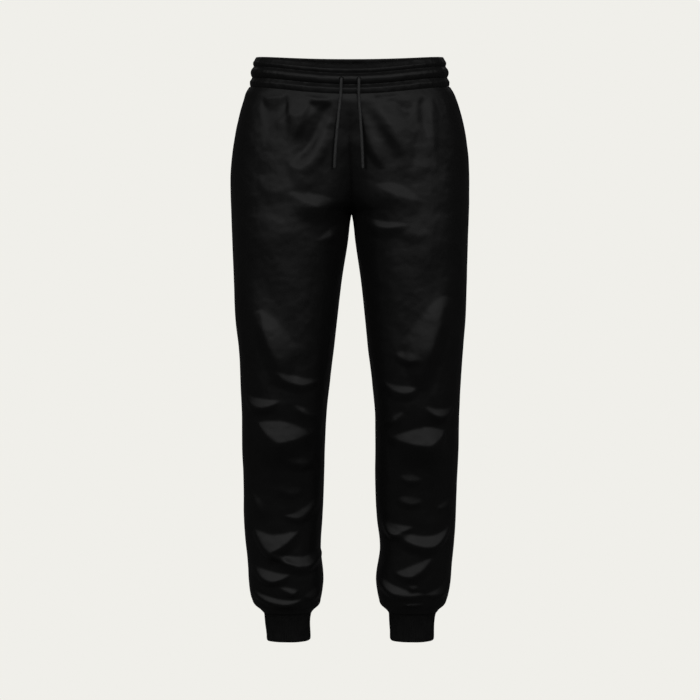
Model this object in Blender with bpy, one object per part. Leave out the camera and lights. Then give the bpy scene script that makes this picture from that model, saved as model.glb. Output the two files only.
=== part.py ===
"""Jogger sweatpants, hollow and filled out as when worn.

Two fronts, two backs, an elastic waistband with three channels, two ribbed cuffs and the two free
ends of a drawcord. Metres, +Z up, the front faces -Y and the wearer's left leg is at +X. The origin
is the middle of the waist, half way up the waistband, where the wearer holds the garment up.
"""

from collections import namedtuple

import bpy
import numpy as np

# Driving dimensions
CLOTH = 0.0022  # thickness of the fleece
SEAM_GAP = 0.0003  # between pieces that are sewn together
WAIST_HALF_WIDTH = 0.1665
WAIST_HALF_DEPTH = 0.0965
WAIST_SHIFT = -0.0006  # the waist sits a little to the wearer's right
CROTCH_DROP = 0.2485
HEM_DROP = 0.9432  # seam between leg and cuff
SQUARENESS = 0.90  # power of sine and cosine in a section; 1 is an ellipse
FRONT_DIP = (0.015, 0.010)  # how far the waist drops at the front: along the sine, and at the very middle
BACK_RISE = 0.010
CORD_RADIUS = 0.00225
CORD_SIDES_LEVEL = 2
BUTTONHOLE_RADIUS = 0.0029
BUTTONHOLE_DEPTH = 0.0030
CORD_SEAT = 0.0005  # between the cord's end and the bottom of its buttonhole
CORD_STEPS = 2  # points of the tube for each stretch of a route

PANEL_COLUMNS = 11
BROAD_SHARE = 8 / PANEL_COLUMNS
BAND_COLUMNS = 64
CUFF_COLUMNS = 48

# Sections of a leg. drop is below the origin, right and left are from the middle of the body to that
# leg's side seam, seam is where the side seam lies front to back, front and back are from there.
Section = namedtuple("Section", "drop right left seam front back")
SECTIONS = [
    Section(0.0265, 0.1762, 0.1750, 0.000, 0.1053, 0.1053),
    Section(0.0350, 0.1814, 0.1806, 0.001, 0.1085, 0.1090),
    Section(0.0490, 0.1859, 0.1866, 0.002, 0.1110, 0.1130),
    Section(0.0750, 0.1938, 0.1947, 0.004, 0.1150, 0.1190),
    Section(0.1100, 0.2014, 0.2028, 0.006, 0.1190, 0.1240),
    Section(0.1450, 0.2067, 0.2072, 0.007, 0.1210, 0.1260),
    Section(0.1800, 0.2094, 0.2089, 0.007, 0.1220, 0.1240),
    Section(0.2240, 0.2086, 0.2086, 0.005, 0.1220, 0.1130),
    Section(0.2485, 0.2078, 0.2078, 0.002, 0.1200, 0.1040),
    Section(0.2940, 0.2057, 0.2057, -0.006, 0.1140, 0.0970),
    Section(0.3640, 0.2020, 0.2030, -0.020, 0.1010, 0.0900),
    Section(0.4340, 0.1985, 0.2002, -0.030, 0.0910, 0.0830),
    Section(0.4603, 0.1954, 0.1980, -0.033, 0.0875, 0.0810),
    Section(0.4865, 0.1917, 0.1953, -0.036, 0.0840, 0.0790),
    Section(0.5040, 0.1903, 0.1941, -0.037, 0.0825, 0.0780),
    Section(0.5390, 0.1899, 0.1920, -0.038, 0.0800, 0.0760),
    Section(0.5915, 0.1870, 0.1886, -0.038, 0.0760, 0.0750),
    Section(0.6440, 0.1874, 0.1888, -0.030, 0.0730, 0.0760),
    Section(0.7140, 0.1852, 0.1862, -0.016, 0.0710, 0.0760),
    Section(0.7840, 0.1852, 0.1843, -0.007, 0.0690, 0.0720),
    Section(0.8190, 0.1830, 0.1821, -0.004, 0.0680, 0.0690),
    Section(0.8540, 0.1784, 0.1784, -0.002, 0.0660, 0.0670),
    Section(0.8890, 0.1769, 0.1760, 0.000, 0.0650, 0.0650),
    Section(0.9065, 0.1748, 0.1732, 0.001, 0.0630, 0.0630),
    Section(0.9188, 0.1719, 0.1702, 0.002, 0.0600, 0.0600),
    Section(0.9328, 0.1650, 0.1638, 0.003, 0.0540, 0.0540),
    Section(0.9398, 0.1564, 0.1555, 0.004, 0.0490, 0.0490),
    Section(0.9432, 0.1532, 0.1532, 0.004, 0.0470, 0.0470),
]

# Inner side of a leg. Below the crotch, gap is from the middle of the body to the inseam.
Inseam = namedtuple("Inseam", "drop gap")
INSEAMS = [
    Inseam(0.2485, 0.0000),
    Inseam(0.2580, 0.0018),
    Inseam(0.2940, 0.0059),
    Inseam(0.3640, 0.0163),
    Inseam(0.4340, 0.0241),
    Inseam(0.4865, 0.0296),
    Inseam(0.5390, 0.0363),
    Inseam(0.5915, 0.0415),
    Inseam(0.6440, 0.0433),
    Inseam(0.7140, 0.0444),
    Inseam(0.7840, 0.0477),
    Inseam(0.8190, 0.0512),
    Inseam(0.8360, 0.0514),
    Inseam(0.8540, 0.0491),
    Inseam(0.8715, 0.0466),
    Inseam(0.8890, 0.0458),
    Inseam(0.9065, 0.0477),
    Inseam(0.9188, 0.0500),
    Inseam(0.9328, 0.0549),
    Inseam(0.9398, 0.0629),
    Inseam(0.9432, 0.0659),
]

# Where a section stands out furthest, in front and at the back: it moves out from the middle as the
# legs part, and sooner in front, so that the middle of the front lies back between the thighs
Crest = namedtuple("Crest", "drop front back")
CRESTS = [
    Crest(0.0265, 0.0000, 0.0000),
    Crest(0.0490, 0.0080, 0.0003),
    Crest(0.0750, 0.0200, 0.0005),
    Crest(0.1100, 0.0350, 0.0040),
    Crest(0.1450, 0.0500, 0.0200),
    Crest(0.1800, 0.0640, 0.0430),
    Crest(0.2240, 0.0800, 0.0730),
    Crest(0.2485, 0.0870, 0.0870),
    Crest(0.2700, 0.0960, 0.0960),
    Crest(0.2940, 0.1020, 0.1020),
    Crest(0.3300, 0.1070, 0.1070),
    Crest(0.3640, 0.1095, 0.1095),
    Crest(0.4340, 0.1115, 0.1115),
    Crest(0.5390, 0.1135, 0.1135),
    Crest(0.6440, 0.1155, 0.1155),
    Crest(0.8190, 0.1165, 0.1165),
    Crest(0.8890, 0.1110, 0.1110),
    Crest(0.9432, 0.1096, 0.1096),
]

# The middle of the body wanders: lean is towards the wearer's left, all of it at the inseams
Middle = namedtuple("Middle", "drop lean")
MIDDLES = [
    Middle(0.0265, -0.0006),
    Middle(0.0750, -0.0004),
    Middle(0.1450, 0.0006),
    Middle(0.2000, 0.0020),
    Middle(0.2485, 0.0028),
    Middle(0.3640, 0.0024),
    Middle(0.4865, 0.0018),
    Middle(0.5915, 0.0015),
    Middle(0.6440, 0.0004),
    Middle(0.7140, -0.0006),
    Middle(0.7840, -0.0005),
    Middle(0.8190, 0.0006),
    Middle(0.8890, -0.0005),
    Middle(0.9432, 0.0000),
]

# Above the crotch the two legs run together: front and back are how far a leg's section would pass the
# middle of the body if it were not cut there. At the waist it would reach the other side seam.
Fork = namedtuple("Fork", "drop front back")
FORKS = [
    Fork(0.0265, 0.1745, 0.1745),
    Fork(0.0490, 0.1560, 0.1864),
    Fork(0.0750, 0.1240, 0.1942),
    Fork(0.1100, 0.0900, 0.1930),
    Fork(0.1450, 0.0700, 0.1640),
    Fork(0.1800, 0.0580, 0.1190),
    Fork(0.2000, 0.0480, 0.0880),
    Fork(0.2240, 0.0320, 0.0460),
    Fork(0.2360, 0.0190, 0.0240),
    Fork(0.2430, 0.0090, 0.0105),
    Fork(0.2485, 0.0000, 0.0000),
]

# How far round its section a panel's broad columns reach, in degrees. The narrow ones go on from there
# to the middle of the body or the inseam, which moves fast near the crotch.
Spread = namedtuple("Spread", "drop turn")
SPREADS = [
    Spread(0.0265, 65.5),
    Spread(0.1100, 76.0),
    Spread(0.1800, 88.0),
    Spread(0.2240, 104.0),
    Spread(0.2485, 116.0),
    Spread(0.2800, 126.0),
    Spread(0.3200, 131.0),
    Spread(0.9432, 131.0),
]

# Rows of a panel, from the waist to the hem
Band = namedtuple("Band", "top bottom rows")
ROW_BANDS = [
    Band(0.0265, 0.0480, 3),
    Band(0.0480, 0.1150, 5),
    Band(0.1150, 0.2180, 8),
    Band(0.2180, 0.2420, 4),
    Band(0.2420, 0.2485, 2),
    Band(0.2485, 0.2560, 1),
    Band(0.2560, 0.3300, 6),
    Band(0.3300, 0.5300, 7),
    Band(0.5300, 0.7000, 12),
    Band(0.7000, 0.7700, 3),
    Band(0.7700, 0.9432, 15),
]

# Folds as seen from the front or the back: a line from (x0, drop0) to (x1, drop1), x measured
# outwards from the middle of the body. sag bows its middle down, height is negative for a hollow.
Fold = namedtuple("Fold", "x0 drop0 x1 drop1 sag width height")
FRONT_FOLDS_RIGHT = [
    Fold(0.056, 0.050, 0.054, 0.112, 0.000, 0.014, -0.0030),  # gathers under the waistband
    Fold(0.114, 0.044, 0.113, 0.108, 0.000, 0.012, -0.0030),
    Fold(0.072, 0.080, 0.110, 0.166, 0.004, 0.016, -0.0040),
    Fold(0.052, 0.094, 0.084, 0.196, 0.006, 0.016, 0.0030),
    Fold(0.018, 0.220, 0.096, 0.234, -0.003, 0.013, 0.0038),  # from the crotch over the thigh
    Fold(0.020, 0.246, 0.112, 0.262, -0.005, 0.013, -0.0036),
    Fold(0.022, 0.270, 0.084, 0.292, 0.000, 0.012, 0.0026),
    Fold(0.148, 0.440, 0.112, 0.550, 0.004, 0.018, 0.0045),  # down to the inside of the knee
    Fold(0.124, 0.552, 0.050, 0.544, 0.006, 0.010, 0.0060),
    Fold(0.178, 0.572, 0.122, 0.578, 0.012, 0.010, 0.0045),
    Fold(0.160, 0.612, 0.056, 0.606, 0.004, 0.010, -0.0040),  # over the knee
    Fold(0.162, 0.640, 0.062, 0.636, 0.010, 0.017, 0.0080),
    Fold(0.170, 0.672, 0.060, 0.690, 0.006, 0.012, -0.0030),
    Fold(0.174, 0.730, 0.134, 0.784, 0.000, 0.012, 0.0040),
    Fold(0.116, 0.784, 0.050, 0.758, 0.006, 0.011, 0.0050),  # stacked above the cuff
    Fold(0.170, 0.798, 0.076, 0.796, 0.032, 0.012, 0.0065),
    Fold(0.138, 0.838, 0.050, 0.836, 0.026, 0.012, 0.0070),
    Fold(0.172, 0.864, 0.098, 0.868, 0.018, 0.011, 0.0060),
    Fold(0.170, 0.900, 0.082, 0.898, 0.020, 0.010, 0.0055),
]
FRONT_FOLDS_LEFT = [
    Fold(0.086, 0.048, 0.096, 0.106, 0.000, 0.014, -0.0025),
    Fold(0.136, 0.044, 0.137, 0.120, 0.000, 0.012, -0.0030),
    Fold(0.040, 0.070, 0.104, 0.186, -0.004, 0.017, -0.0045),
    Fold(0.034, 0.090, 0.066, 0.176, 0.000, 0.014, 0.0030),
    Fold(0.034, 0.198, 0.118, 0.208, -0.003, 0.013, 0.0034),
    Fold(0.022, 0.228, 0.118, 0.236, -0.004, 0.013, -0.0036),
    Fold(0.016, 0.252, 0.102, 0.262, 0.005, 0.012, 0.0036),
    Fold(0.152, 0.420, 0.114, 0.548, -0.004, 0.018, 0.0045),
    Fold(0.120, 0.554, 0.052, 0.546, 0.006, 0.010, 0.0060),
    Fold(0.176, 0.582, 0.124, 0.582, 0.014, 0.010, 0.0045),
    Fold(0.160, 0.612, 0.056, 0.612, 0.004, 0.010, -0.0040),
    Fold(0.160, 0.642, 0.062, 0.650, 0.008, 0.017, 0.0080),
    Fold(0.168, 0.686, 0.066, 0.680, 0.006, 0.012, -0.0030),
    Fold(0.136, 0.740, 0.072, 0.750, 0.003, 0.012, 0.0035),
    Fold(0.178, 0.770, 0.110, 0.782, 0.006, 0.011, -0.0030),
    Fold(0.176, 0.790, 0.050, 0.782, 0.046, 0.012, 0.0070),
    Fold(0.146, 0.850, 0.070, 0.874, 0.008, 0.011, 0.0060),
    Fold(0.172, 0.880, 0.050, 0.874, 0.032, 0.011, 0.0070),
]
BACK_FOLDS_RIGHT = [
    Fold(0.060, 0.046, 0.062, 0.112, 0.000, 0.014, -0.0030),
    Fold(0.120, 0.044, 0.124, 0.100, 0.000, 0.012, -0.0030),
    Fold(0.036, 0.266, 0.146, 0.278, 0.010, 0.016, 0.0034),  # under the seat
    Fold(0.046, 0.302, 0.136, 0.320, 0.008, 0.016, -0.0030),
    Fold(0.152, 0.430, 0.080, 0.520, 0.000, 0.020, 0.0040),
    Fold(0.176, 0.560, 0.056, 0.576, 0.014, 0.012, 0.0060),  # behind the knee
    Fold(0.172, 0.606, 0.060, 0.598, -0.006, 0.012, 0.0065),
    Fold(0.150, 0.640, 0.066, 0.634, 0.012, 0.012, -0.0045),
    Fold(0.166, 0.676, 0.056, 0.700, 0.004, 0.015, 0.0050),
    Fold(0.172, 0.766, 0.056, 0.790, 0.016, 0.014, 0.0055),
    Fold(0.168, 0.820, 0.092, 0.812, 0.014, 0.011, 0.0055),  # stacked above the cuff
    Fold(0.136, 0.846, 0.052, 0.834, 0.018, 0.012, 0.0065),
    Fold(0.170, 0.872, 0.086, 0.884, 0.014, 0.011, 0.0055),
    Fold(0.148, 0.906, 0.056, 0.898, 0.014, 0.010, 0.0050),
]
BACK_FOLDS_LEFT = [
    Fold(0.066, 0.046, 0.064, 0.106, 0.000, 0.014, -0.0030),
    Fold(0.126, 0.044, 0.128, 0.112, 0.000, 0.012, -0.0030),
    Fold(0.034, 0.270, 0.140, 0.276, 0.010, 0.016, 0.0034),
    Fold(0.046, 0.306, 0.132, 0.328, 0.008, 0.016, -0.0030),
    Fold(0.148, 0.440, 0.092, 0.530, 0.000, 0.020, 0.0040),
    Fold(0.172, 0.566, 0.058, 0.558, 0.016, 0.012, 0.0060),
    Fold(0.176, 0.596, 0.064, 0.612, -0.004, 0.012, 0.0065),
    Fold(0.148, 0.630, 0.058, 0.642, 0.010, 0.012, -0.0045),
    Fold(0.168, 0.690, 0.064, 0.680, 0.006, 0.015, 0.0050),
    Fold(0.174, 0.784, 0.070, 0.770, 0.014, 0.014, 0.0055),
    Fold(0.134, 0.818, 0.056, 0.824, 0.012, 0.011, 0.0055),
    Fold(0.174, 0.838, 0.086, 0.850, 0.016, 0.012, 0.0065),
    Fold(0.146, 0.882, 0.054, 0.872, 0.016, 0.011, 0.0055),
    Fold(0.166, 0.904, 0.088, 0.908, 0.008, 0.010, 0.0050),
]

# Waistband, from its seam up over the rim and down inside. proud is measured from the waist's ring.
Channel = namedtuple("Channel", "height proud")
BAND_PROFILE = [
    Channel(-0.0262, 0.0080),
    Channel(-0.0215, 0.0072),
    Channel(-0.0172, 0.0066),
    Channel(-0.0130, 0.0055),
    Channel(-0.0096, 0.0036),  # lower row of stitching
    Channel(-0.0062, 0.0051),
    Channel(-0.0014, 0.0060),
    Channel(0.0034, 0.0052),
    Channel(0.0072, 0.0030),
    Channel(0.0098, 0.0007),  # upper row of stitching
    Channel(0.0130, 0.0015),
    Channel(0.0176, 0.0010),
    Channel(0.0226, -0.0006),
    Channel(0.0262, -0.0030),
    Channel(0.0240, -0.0050),
    Channel(0.0098, -0.0026),
    Channel(-0.0010, 0.0010),
    Channel(-0.0172, 0.0020),
    Channel(-0.0262, 0.0040),
]

# Cuff, from its seam down to the folded end and up inside. in_by is from the section's outside.
Cuff = namedtuple("Cuff", "drop outer inner seam front back in_by")
CUFF_PROFILE = [
    Cuff(0.9435, 0.1528, 0.0661, 0.004, 0.0470, 0.0470, 0.0000),
    Cuff(0.9490, 0.1498, 0.0684, 0.005, 0.0442, 0.0442, 0.0000),
    Cuff(0.9600, 0.1484, 0.0694, 0.006, 0.0426, 0.0426, 0.0000),
    Cuff(0.9770, 0.1470, 0.0698, 0.007, 0.0416, 0.0416, 0.0000),
    Cuff(0.9900, 0.1466, 0.0698, 0.007, 0.0414, 0.0414, 0.0000),
    Cuff(0.9936, 0.1466, 0.0698, 0.007, 0.0414, 0.0414, 0.0014),
    Cuff(0.9915, 0.1466, 0.0698, 0.007, 0.0414, 0.0414, 0.0029),
    Cuff(0.9620, 0.1484, 0.0694, 0.006, 0.0426, 0.0426, 0.0029),
    Cuff(0.9435, 0.1528, 0.0661, 0.004, 0.0470, 0.0470, 0.0029),
]

# Free ends of the drawcord, chosen by hand: out of the buttonhole, over the lower channel and down
# the front, a millimetre off the cloth
CORD_ROUTES = {
    "drawcord_right": [
        (-0.0147, -0.0999, -0.0262),
        (-0.0147, -0.1050, -0.0264),
        (-0.0148, -0.1090, -0.0295),
        (-0.0150, -0.1103, -0.0360),
        (-0.0155, -0.1109, -0.0480),
        (-0.0168, -0.1115, -0.0640),
        (-0.0196, -0.1136, -0.0890),
        (-0.0223, -0.1156, -0.1170),
        (-0.0246, -0.1164, -0.1450),
        (-0.0267, -0.1150, -0.1790),
    ],
    "drawcord_left": [
        (0.0152, -0.0999, -0.0262),
        (0.0152, -0.1050, -0.0264),
        (0.0152, -0.1090, -0.0295),
        (0.0151, -0.1103, -0.0360),
        (0.0150, -0.1109, -0.0480),
        (0.0154, -0.1115, -0.0640),
        (0.0173, -0.1137, -0.0890),
        (0.0190, -0.1158, -0.1170),
        (0.0206, -0.1160, -0.1450),
        (0.0221, -0.1140, -0.1796),
    ],
}

# Linear colours and finishes
BLACK_FLEECE = (0.012, 0.012, 0.012)
BLACK_RIB = (0.009, 0.009, 0.009)
BLACK_CORD = (0.022, 0.022, 0.022)

Waypoint = namedtuple("Waypoint", "step x y z")

FRONT, BACK = -1, 1
RIGHT, LEFT = -1, 1


def column(table, name):
    """One named column of a table, as an array."""
    return np.array([getattr(row, name) for row in table])


def curve_through(table, name, at):
    """A smooth curve through a table's column: a cubic from row to row, with the neighbours' slopes."""
    places, values = column(table, table[0]._fields[0]), column(table, name)
    slopes = np.gradient(values, places)
    at = np.clip(at, places[0], places[-1])
    i = np.clip(np.searchsorted(places, at, side="right") - 1, 0, len(places) - 2)
    step = places[i + 1] - places[i]
    t = (at - places[i]) / step
    rise = values[i + 1] - values[i]
    start, end = slopes[i] * step, slopes[i + 1] * step
    return values[i] + t * (start + t * (3 * rise - 2 * start - end + t * (start + end - 2 * rise)))


def ease(share):
    """0 at 0 and 1 at 1, with level ends."""
    t = np.clip(share, 0, 1)
    return t * t * (3 - 2 * t)


def waist_tilt(half, turn):
    """How far the waist lies above its level at the sides.

    turn is 0 at the side and a right angle at the middle of the front or back.
    """
    along, middle = FRONT_DIP
    dip = along * np.sin(turn) + middle * (1 + np.cos(np.pi * np.cos(turn))) / 2
    rise = BACK_RISE * (1 - (1 - np.sin(turn)) ** 2)
    return np.where(half == FRONT, -dip, rise)


def power(value):
    """Sine or cosine bent towards a squarer section, sign kept."""
    return np.sign(value) * np.abs(value) ** SQUARENESS


def leg_skin(side, half, drop, share, inset):
    """Points of one leg's front or back, and the directions that face outwards there.

    share runs from 0 at the side seam to 1 at the inseam or, above the crotch, at the middle of the
    body. inset is how far inside the cloth's outer face the skin lies. x is measured outwards.
    """
    outer = curve_through(SECTIONS, "left" if side == LEFT else "right", drop) - inset
    gap = curve_through(INSEAMS, "gap", np.maximum(drop, CROTCH_DROP))
    facing_side = "front" if half == FRONT else "back"
    reach = curve_through(FORKS, facing_side, np.minimum(drop, CROTCH_DROP))
    inner = np.maximum(gap - reach + inset, -outer)
    depth = curve_through(SECTIONS, facing_side, drop) - inset
    crest = curve_through(CRESTS, facing_side, drop)
    last = np.arccos(-np.clip(crest / (crest - inner), 0, 1) ** (1 / SQUARENESS))
    broad = np.radians(curve_through(SPREADS, "turn", drop))
    narrow = broad + (last - broad) * (share - BROAD_SHARE) / (1 - BROAD_SHARE)
    angle = np.where(share < BROAD_SHARE, broad * share / BROAD_SHARE, narrow)
    radius = np.where(np.cos(angle) > 0, outer - crest, crest - inner)
    x = crest + radius * power(np.cos(angle))
    y = curve_through(SECTIONS, "seam", drop) + half * depth * power(np.sin(angle))
    fade = 1 - ease((drop - SECTIONS[0].drop) / (CROTCH_DROP - SECTIONS[0].drop))
    z = -drop + waist_tilt(half, share * np.pi / 2) * fade
    facing = np.stack([depth * np.cos(angle), half * radius * np.sin(angle), 0 * x], -1)
    facing /= np.linalg.norm(facing, axis=-1, keepdims=True)
    return np.stack([x, y, z], -1), facing


def relief(folds, x, drop):
    """Height of the folds at x and drop: each is a soft ridge along its bowed line, fading at its ends."""
    total = np.zeros_like(x)
    for fold in folds:
        across, down = fold.x1 - fold.x0, fold.drop1 - fold.drop0
        length = np.hypot(across, down)
        along = ((x - fold.x0) * across + (drop - fold.drop0) * down) / length**2
        below = ((drop - fold.drop0) * across - (x - fold.x0) * down) / length * np.sign(across)
        bow = fold.sag * 4 * np.clip(along, 0, 1) * (1 - np.clip(along, 0, 1))
        ends = ease(along / 0.3) * ease((1 - along) / 0.3)
        total += fold.height * ends * np.exp(-(((below - bow) / fold.width) ** 2))
    return total


def cloth_points(side, half, folds, drops, shares, inset):
    """Points of one panel at each of the drops and shares, folds and all."""
    drop, share = np.meshgrid(drops, shares, indexing="ij")
    base, _ = leg_skin(side, half, drop, share, 0)
    seams = ease(share / 0.1) * ease((1 - share) / 0.25)
    raised = relief(folds, base[..., 0], -base[..., 2]) * seams
    points, facing = leg_skin(side, half, drop, share, inset)
    points = points + facing * raised[..., None]
    lean = curve_through(MIDDLES, "lean", drop) * share
    points[..., 0] = (points[..., 0] + SEAM_GAP / 2) * side + lean
    points[..., 1] += half * SEAM_GAP / 2
    return points


def add_mesh(name, points, faces, material):
    """A smooth-shaded mesh object in the garment's collection."""
    mesh = bpy.data.meshes.new(name)
    mesh.from_pydata(points.tolist(), [], faces)
    mesh.shade_smooth()
    mesh.set_sharp_from_angle(angle=np.radians(40))
    mesh.materials.append(material)
    piece = bpy.data.objects.new(name, mesh)
    garment.objects.link(piece)
    return piece


def grid_faces(rows, columns, start=0):
    """Quads between the points of a grid whose rows and columns don't close."""
    r, c = np.meshgrid(np.arange(rows - 1), np.arange(columns - 1), indexing="ij")
    corner = start + r * columns + c
    return np.stack([corner, corner + 1, corner + columns + 1, corner + columns], -1).reshape(-1, 4)


def make_panel(name, side, half, folds):
    """A wall of cloth: the outer and the inner grid, joined by a strip along their edges."""
    drops = [np.linspace(band.top, band.bottom, band.rows, endpoint=False) for band in ROW_BANDS]
    drops = np.append(np.concatenate(drops), HEM_DROP)
    shares = np.linspace(0, 1, PANEL_COLUMNS + 1)
    outer = cloth_points(side, half, folds, drops, shares, 0)
    inner = cloth_points(side, half, folds, drops, shares, CLOTH)
    rows, columns = outer.shape[:2]
    count = rows * columns
    index = np.arange(count).reshape(rows, columns)
    edge = np.concatenate([index[0, :-1], index[:-1, -1], index[-1, :0:-1], index[:0:-1, 0]])
    following = np.roll(edge, -1)
    strip = np.stack([edge, edge + count, following + count, following], -1)
    faces = np.concatenate([grid_faces(rows, columns), grid_faces(rows, columns, count)[:, ::-1], strip])
    if side * half > 0:
        faces = faces[:, ::-1]
    points = np.concatenate([outer.reshape(-1, 3), inner.reshape(-1, 3)])
    return add_mesh(name, points, faces.tolist(), fleece)


def make_ring_wall(name, loops, material):
    """A closed wall from loops of points: up one face, over the edge and back along the other."""
    rows, columns = loops.shape[:2]
    r, c = np.meshgrid(np.arange(rows), np.arange(columns), indexing="ij")
    below, beside = (r + 1) % rows, (c + 1) % columns
    corners = [r * columns + c, r * columns + beside, below * columns + beside, below * columns + c]
    faces = np.stack(corners, -1).reshape(-1, 4)
    return add_mesh(name, loops.reshape(-1, 3), faces.tolist(), material)


def make_waistband():
    """A ring with a channel between each two rows of stitching, dipped at the front."""
    turn = np.arange(BAND_COLUMNS) * 2 * np.pi / BAND_COLUMNS
    half = np.where(np.sin(turn) < 0, FRONT, BACK)
    from_side = np.arcsin(np.abs(np.sin(turn)))
    loops = []
    for row in BAND_PROFILE:
        x = WAIST_SHIFT + (WAIST_HALF_WIDTH + row.proud) * power(np.cos(turn))
        y = (WAIST_HALF_DEPTH + row.proud) * power(np.sin(turn))
        loops.append(np.stack([x, y, row.height + waist_tilt(half, from_side)], -1))
    return make_ring_wall("waistband", np.array(loops), fleece)


def make_cuff(name, side):
    """A tube of double rib knit, folded at its lower end."""
    turn = np.arange(CUFF_COLUMNS) * 2 * np.pi / CUFF_COLUMNS
    loops = []
    for row in reversed(CUFF_PROFILE):
        middle, radius = (row.outer + row.inner) / 2, (row.outer - row.inner) / 2
        depth = np.where(np.sin(turn) < 0, row.front, row.back)
        x = side * middle + (radius - row.in_by) * power(np.cos(turn))
        y = row.seam + (depth - row.in_by) * power(np.sin(turn))
        loops.append(np.stack([x, y, np.full(CUFF_COLUMNS, -row.drop)], -1))
    return make_ring_wall(name, np.array(loops), rib)


def smooth_route(route):
    """Points read at even steps from a smooth curve through a route's own points."""
    table = [Waypoint(i, *place) for i, place in enumerate(route)]
    steps = np.linspace(0, len(route) - 1, (len(route) - 1) * CORD_STEPS + 1)
    return np.stack([curve_through(table, axis, steps) for axis in ("x", "y", "z")], -1)


def make_cord(name, route):
    """A round cord along its route, with closed ends."""
    places = smooth_route(route)
    curve = bpy.data.curves.new(name, "CURVE")
    curve.dimensions = "3D"
    curve.bevel_depth = CORD_RADIUS
    curve.bevel_resolution = CORD_SIDES_LEVEL
    curve.use_fill_caps = True
    line = curve.splines.new("POLY")
    line.points.add(len(places) - 1)
    for point, place in zip(line.points, places):
        point.co = (*place, 1)
    curve.materials.append(cord)
    piece = bpy.data.objects.new(name, curve)
    garment.objects.link(piece)
    return piece


def cut_buttonhole(band, name, route):
    """A blind round hole in the band's outer face, where a cord comes out."""
    x, y, z = route[0]
    floor = y + CORD_SEAT
    bpy.ops.mesh.primitive_cylinder_add(
        vertices=16,
        radius=BUTTONHOLE_RADIUS,
        depth=2 * BUTTONHOLE_DEPTH + CORD_RADIUS,
        location=(x, floor - BUTTONHOLE_DEPTH - CORD_RADIUS / 2, z),
        rotation=(np.pi / 2, 0, 0),
    )
    cutter = bpy.context.object
    cutter.name = name
    cutter.hide_render = True
    cutter.display_type = "WIRE"
    for collection in cutter.users_collection:
        collection.objects.unlink(cutter)
    cutters.objects.link(cutter)
    cut = band.modifiers.new(name, "BOOLEAN")
    cut.operation = "DIFFERENCE"
    cut.object = cutter


def make_material(name, colour, roughness):
    material = bpy.data.materials.new(name)
    material.use_nodes = True
    shader = material.node_tree.nodes["Principled BSDF"]
    shader.inputs["Base Color"].default_value = (*colour, 1)
    shader.inputs["Roughness"].default_value = roughness
    shader.inputs["Metallic"].default_value = 0
    return material


def make_collection(name):
    collection = bpy.data.collections.new(name)
    bpy.context.scene.collection.children.link(collection)
    return collection


for old in list(bpy.data.objects):
    bpy.data.objects.remove(old)

garment = make_collection("jogger_sweatpants")
cutters = make_collection("cutters")
fleece = make_material("black_fleece", BLACK_FLEECE, 0.75)
rib = make_material("black_rib_knit", BLACK_RIB, 0.85)
cord = make_material("black_braided_cord", BLACK_CORD, 0.6)

make_panel("front_right", RIGHT, FRONT, FRONT_FOLDS_RIGHT)
make_panel("front_left", LEFT, FRONT, FRONT_FOLDS_LEFT)
make_panel("back_right", RIGHT, BACK, BACK_FOLDS_RIGHT)
make_panel("back_left", LEFT, BACK, BACK_FOLDS_LEFT)
waistband = make_waistband()
make_cuff("cuff_right", RIGHT)
make_cuff("cuff_left", LEFT)
for name, route in CORD_ROUTES.items():
    make_cord(name, route)
    cut_buttonhole(waistband, "buttonhole_" + name, route)
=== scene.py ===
"""Jogger sweatpants in black fleece, hollow and filled out as when worn.

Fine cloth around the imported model: four leg panels with their creases, a waistband with three
channels, two rib cuffs, the two free ends of a braided drawcord, and the sewing. Metres, +Z up, the
front faces -Y and the wearer's left leg is at +X. Right and left are the wearer's.
"""

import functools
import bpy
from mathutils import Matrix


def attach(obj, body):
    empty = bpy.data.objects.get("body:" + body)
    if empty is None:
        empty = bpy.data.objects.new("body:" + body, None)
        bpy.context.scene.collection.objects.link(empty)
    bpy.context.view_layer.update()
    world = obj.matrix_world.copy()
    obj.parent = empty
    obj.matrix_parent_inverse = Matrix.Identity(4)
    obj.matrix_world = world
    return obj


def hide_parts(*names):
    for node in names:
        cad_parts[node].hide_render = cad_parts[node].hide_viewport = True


bl_info = {
    "name": "Jogger sweatpants",
    "version": (1, 0, 0),
    "blender": (4, 5, 0),
    "location": "3D View > Sidebar > Joggers",
    "description": "Makes jogger sweatpants in black fleece around a packed model",
    "category": "Object",
}

from collections import namedtuple

import bpy
import numpy as np

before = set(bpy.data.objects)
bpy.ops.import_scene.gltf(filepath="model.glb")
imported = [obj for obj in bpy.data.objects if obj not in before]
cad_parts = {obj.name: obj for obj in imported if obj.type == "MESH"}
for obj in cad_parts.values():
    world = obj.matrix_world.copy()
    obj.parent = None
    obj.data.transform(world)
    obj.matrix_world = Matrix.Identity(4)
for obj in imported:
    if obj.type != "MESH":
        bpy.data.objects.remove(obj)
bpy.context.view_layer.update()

FRONT, BACK = -1, 1
RIGHT, LEFT = -1, 1
SIDE_NAMES = {RIGHT: "right", LEFT: "left"}
HALF_NAMES = {FRONT: "front", BACK: "back"}


def named_rows(columns, *rows):
    """A table: its rows with named columns."""
    kind = namedtuple("Row", columns)
    return [kind(*row) for row in rows]


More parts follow.
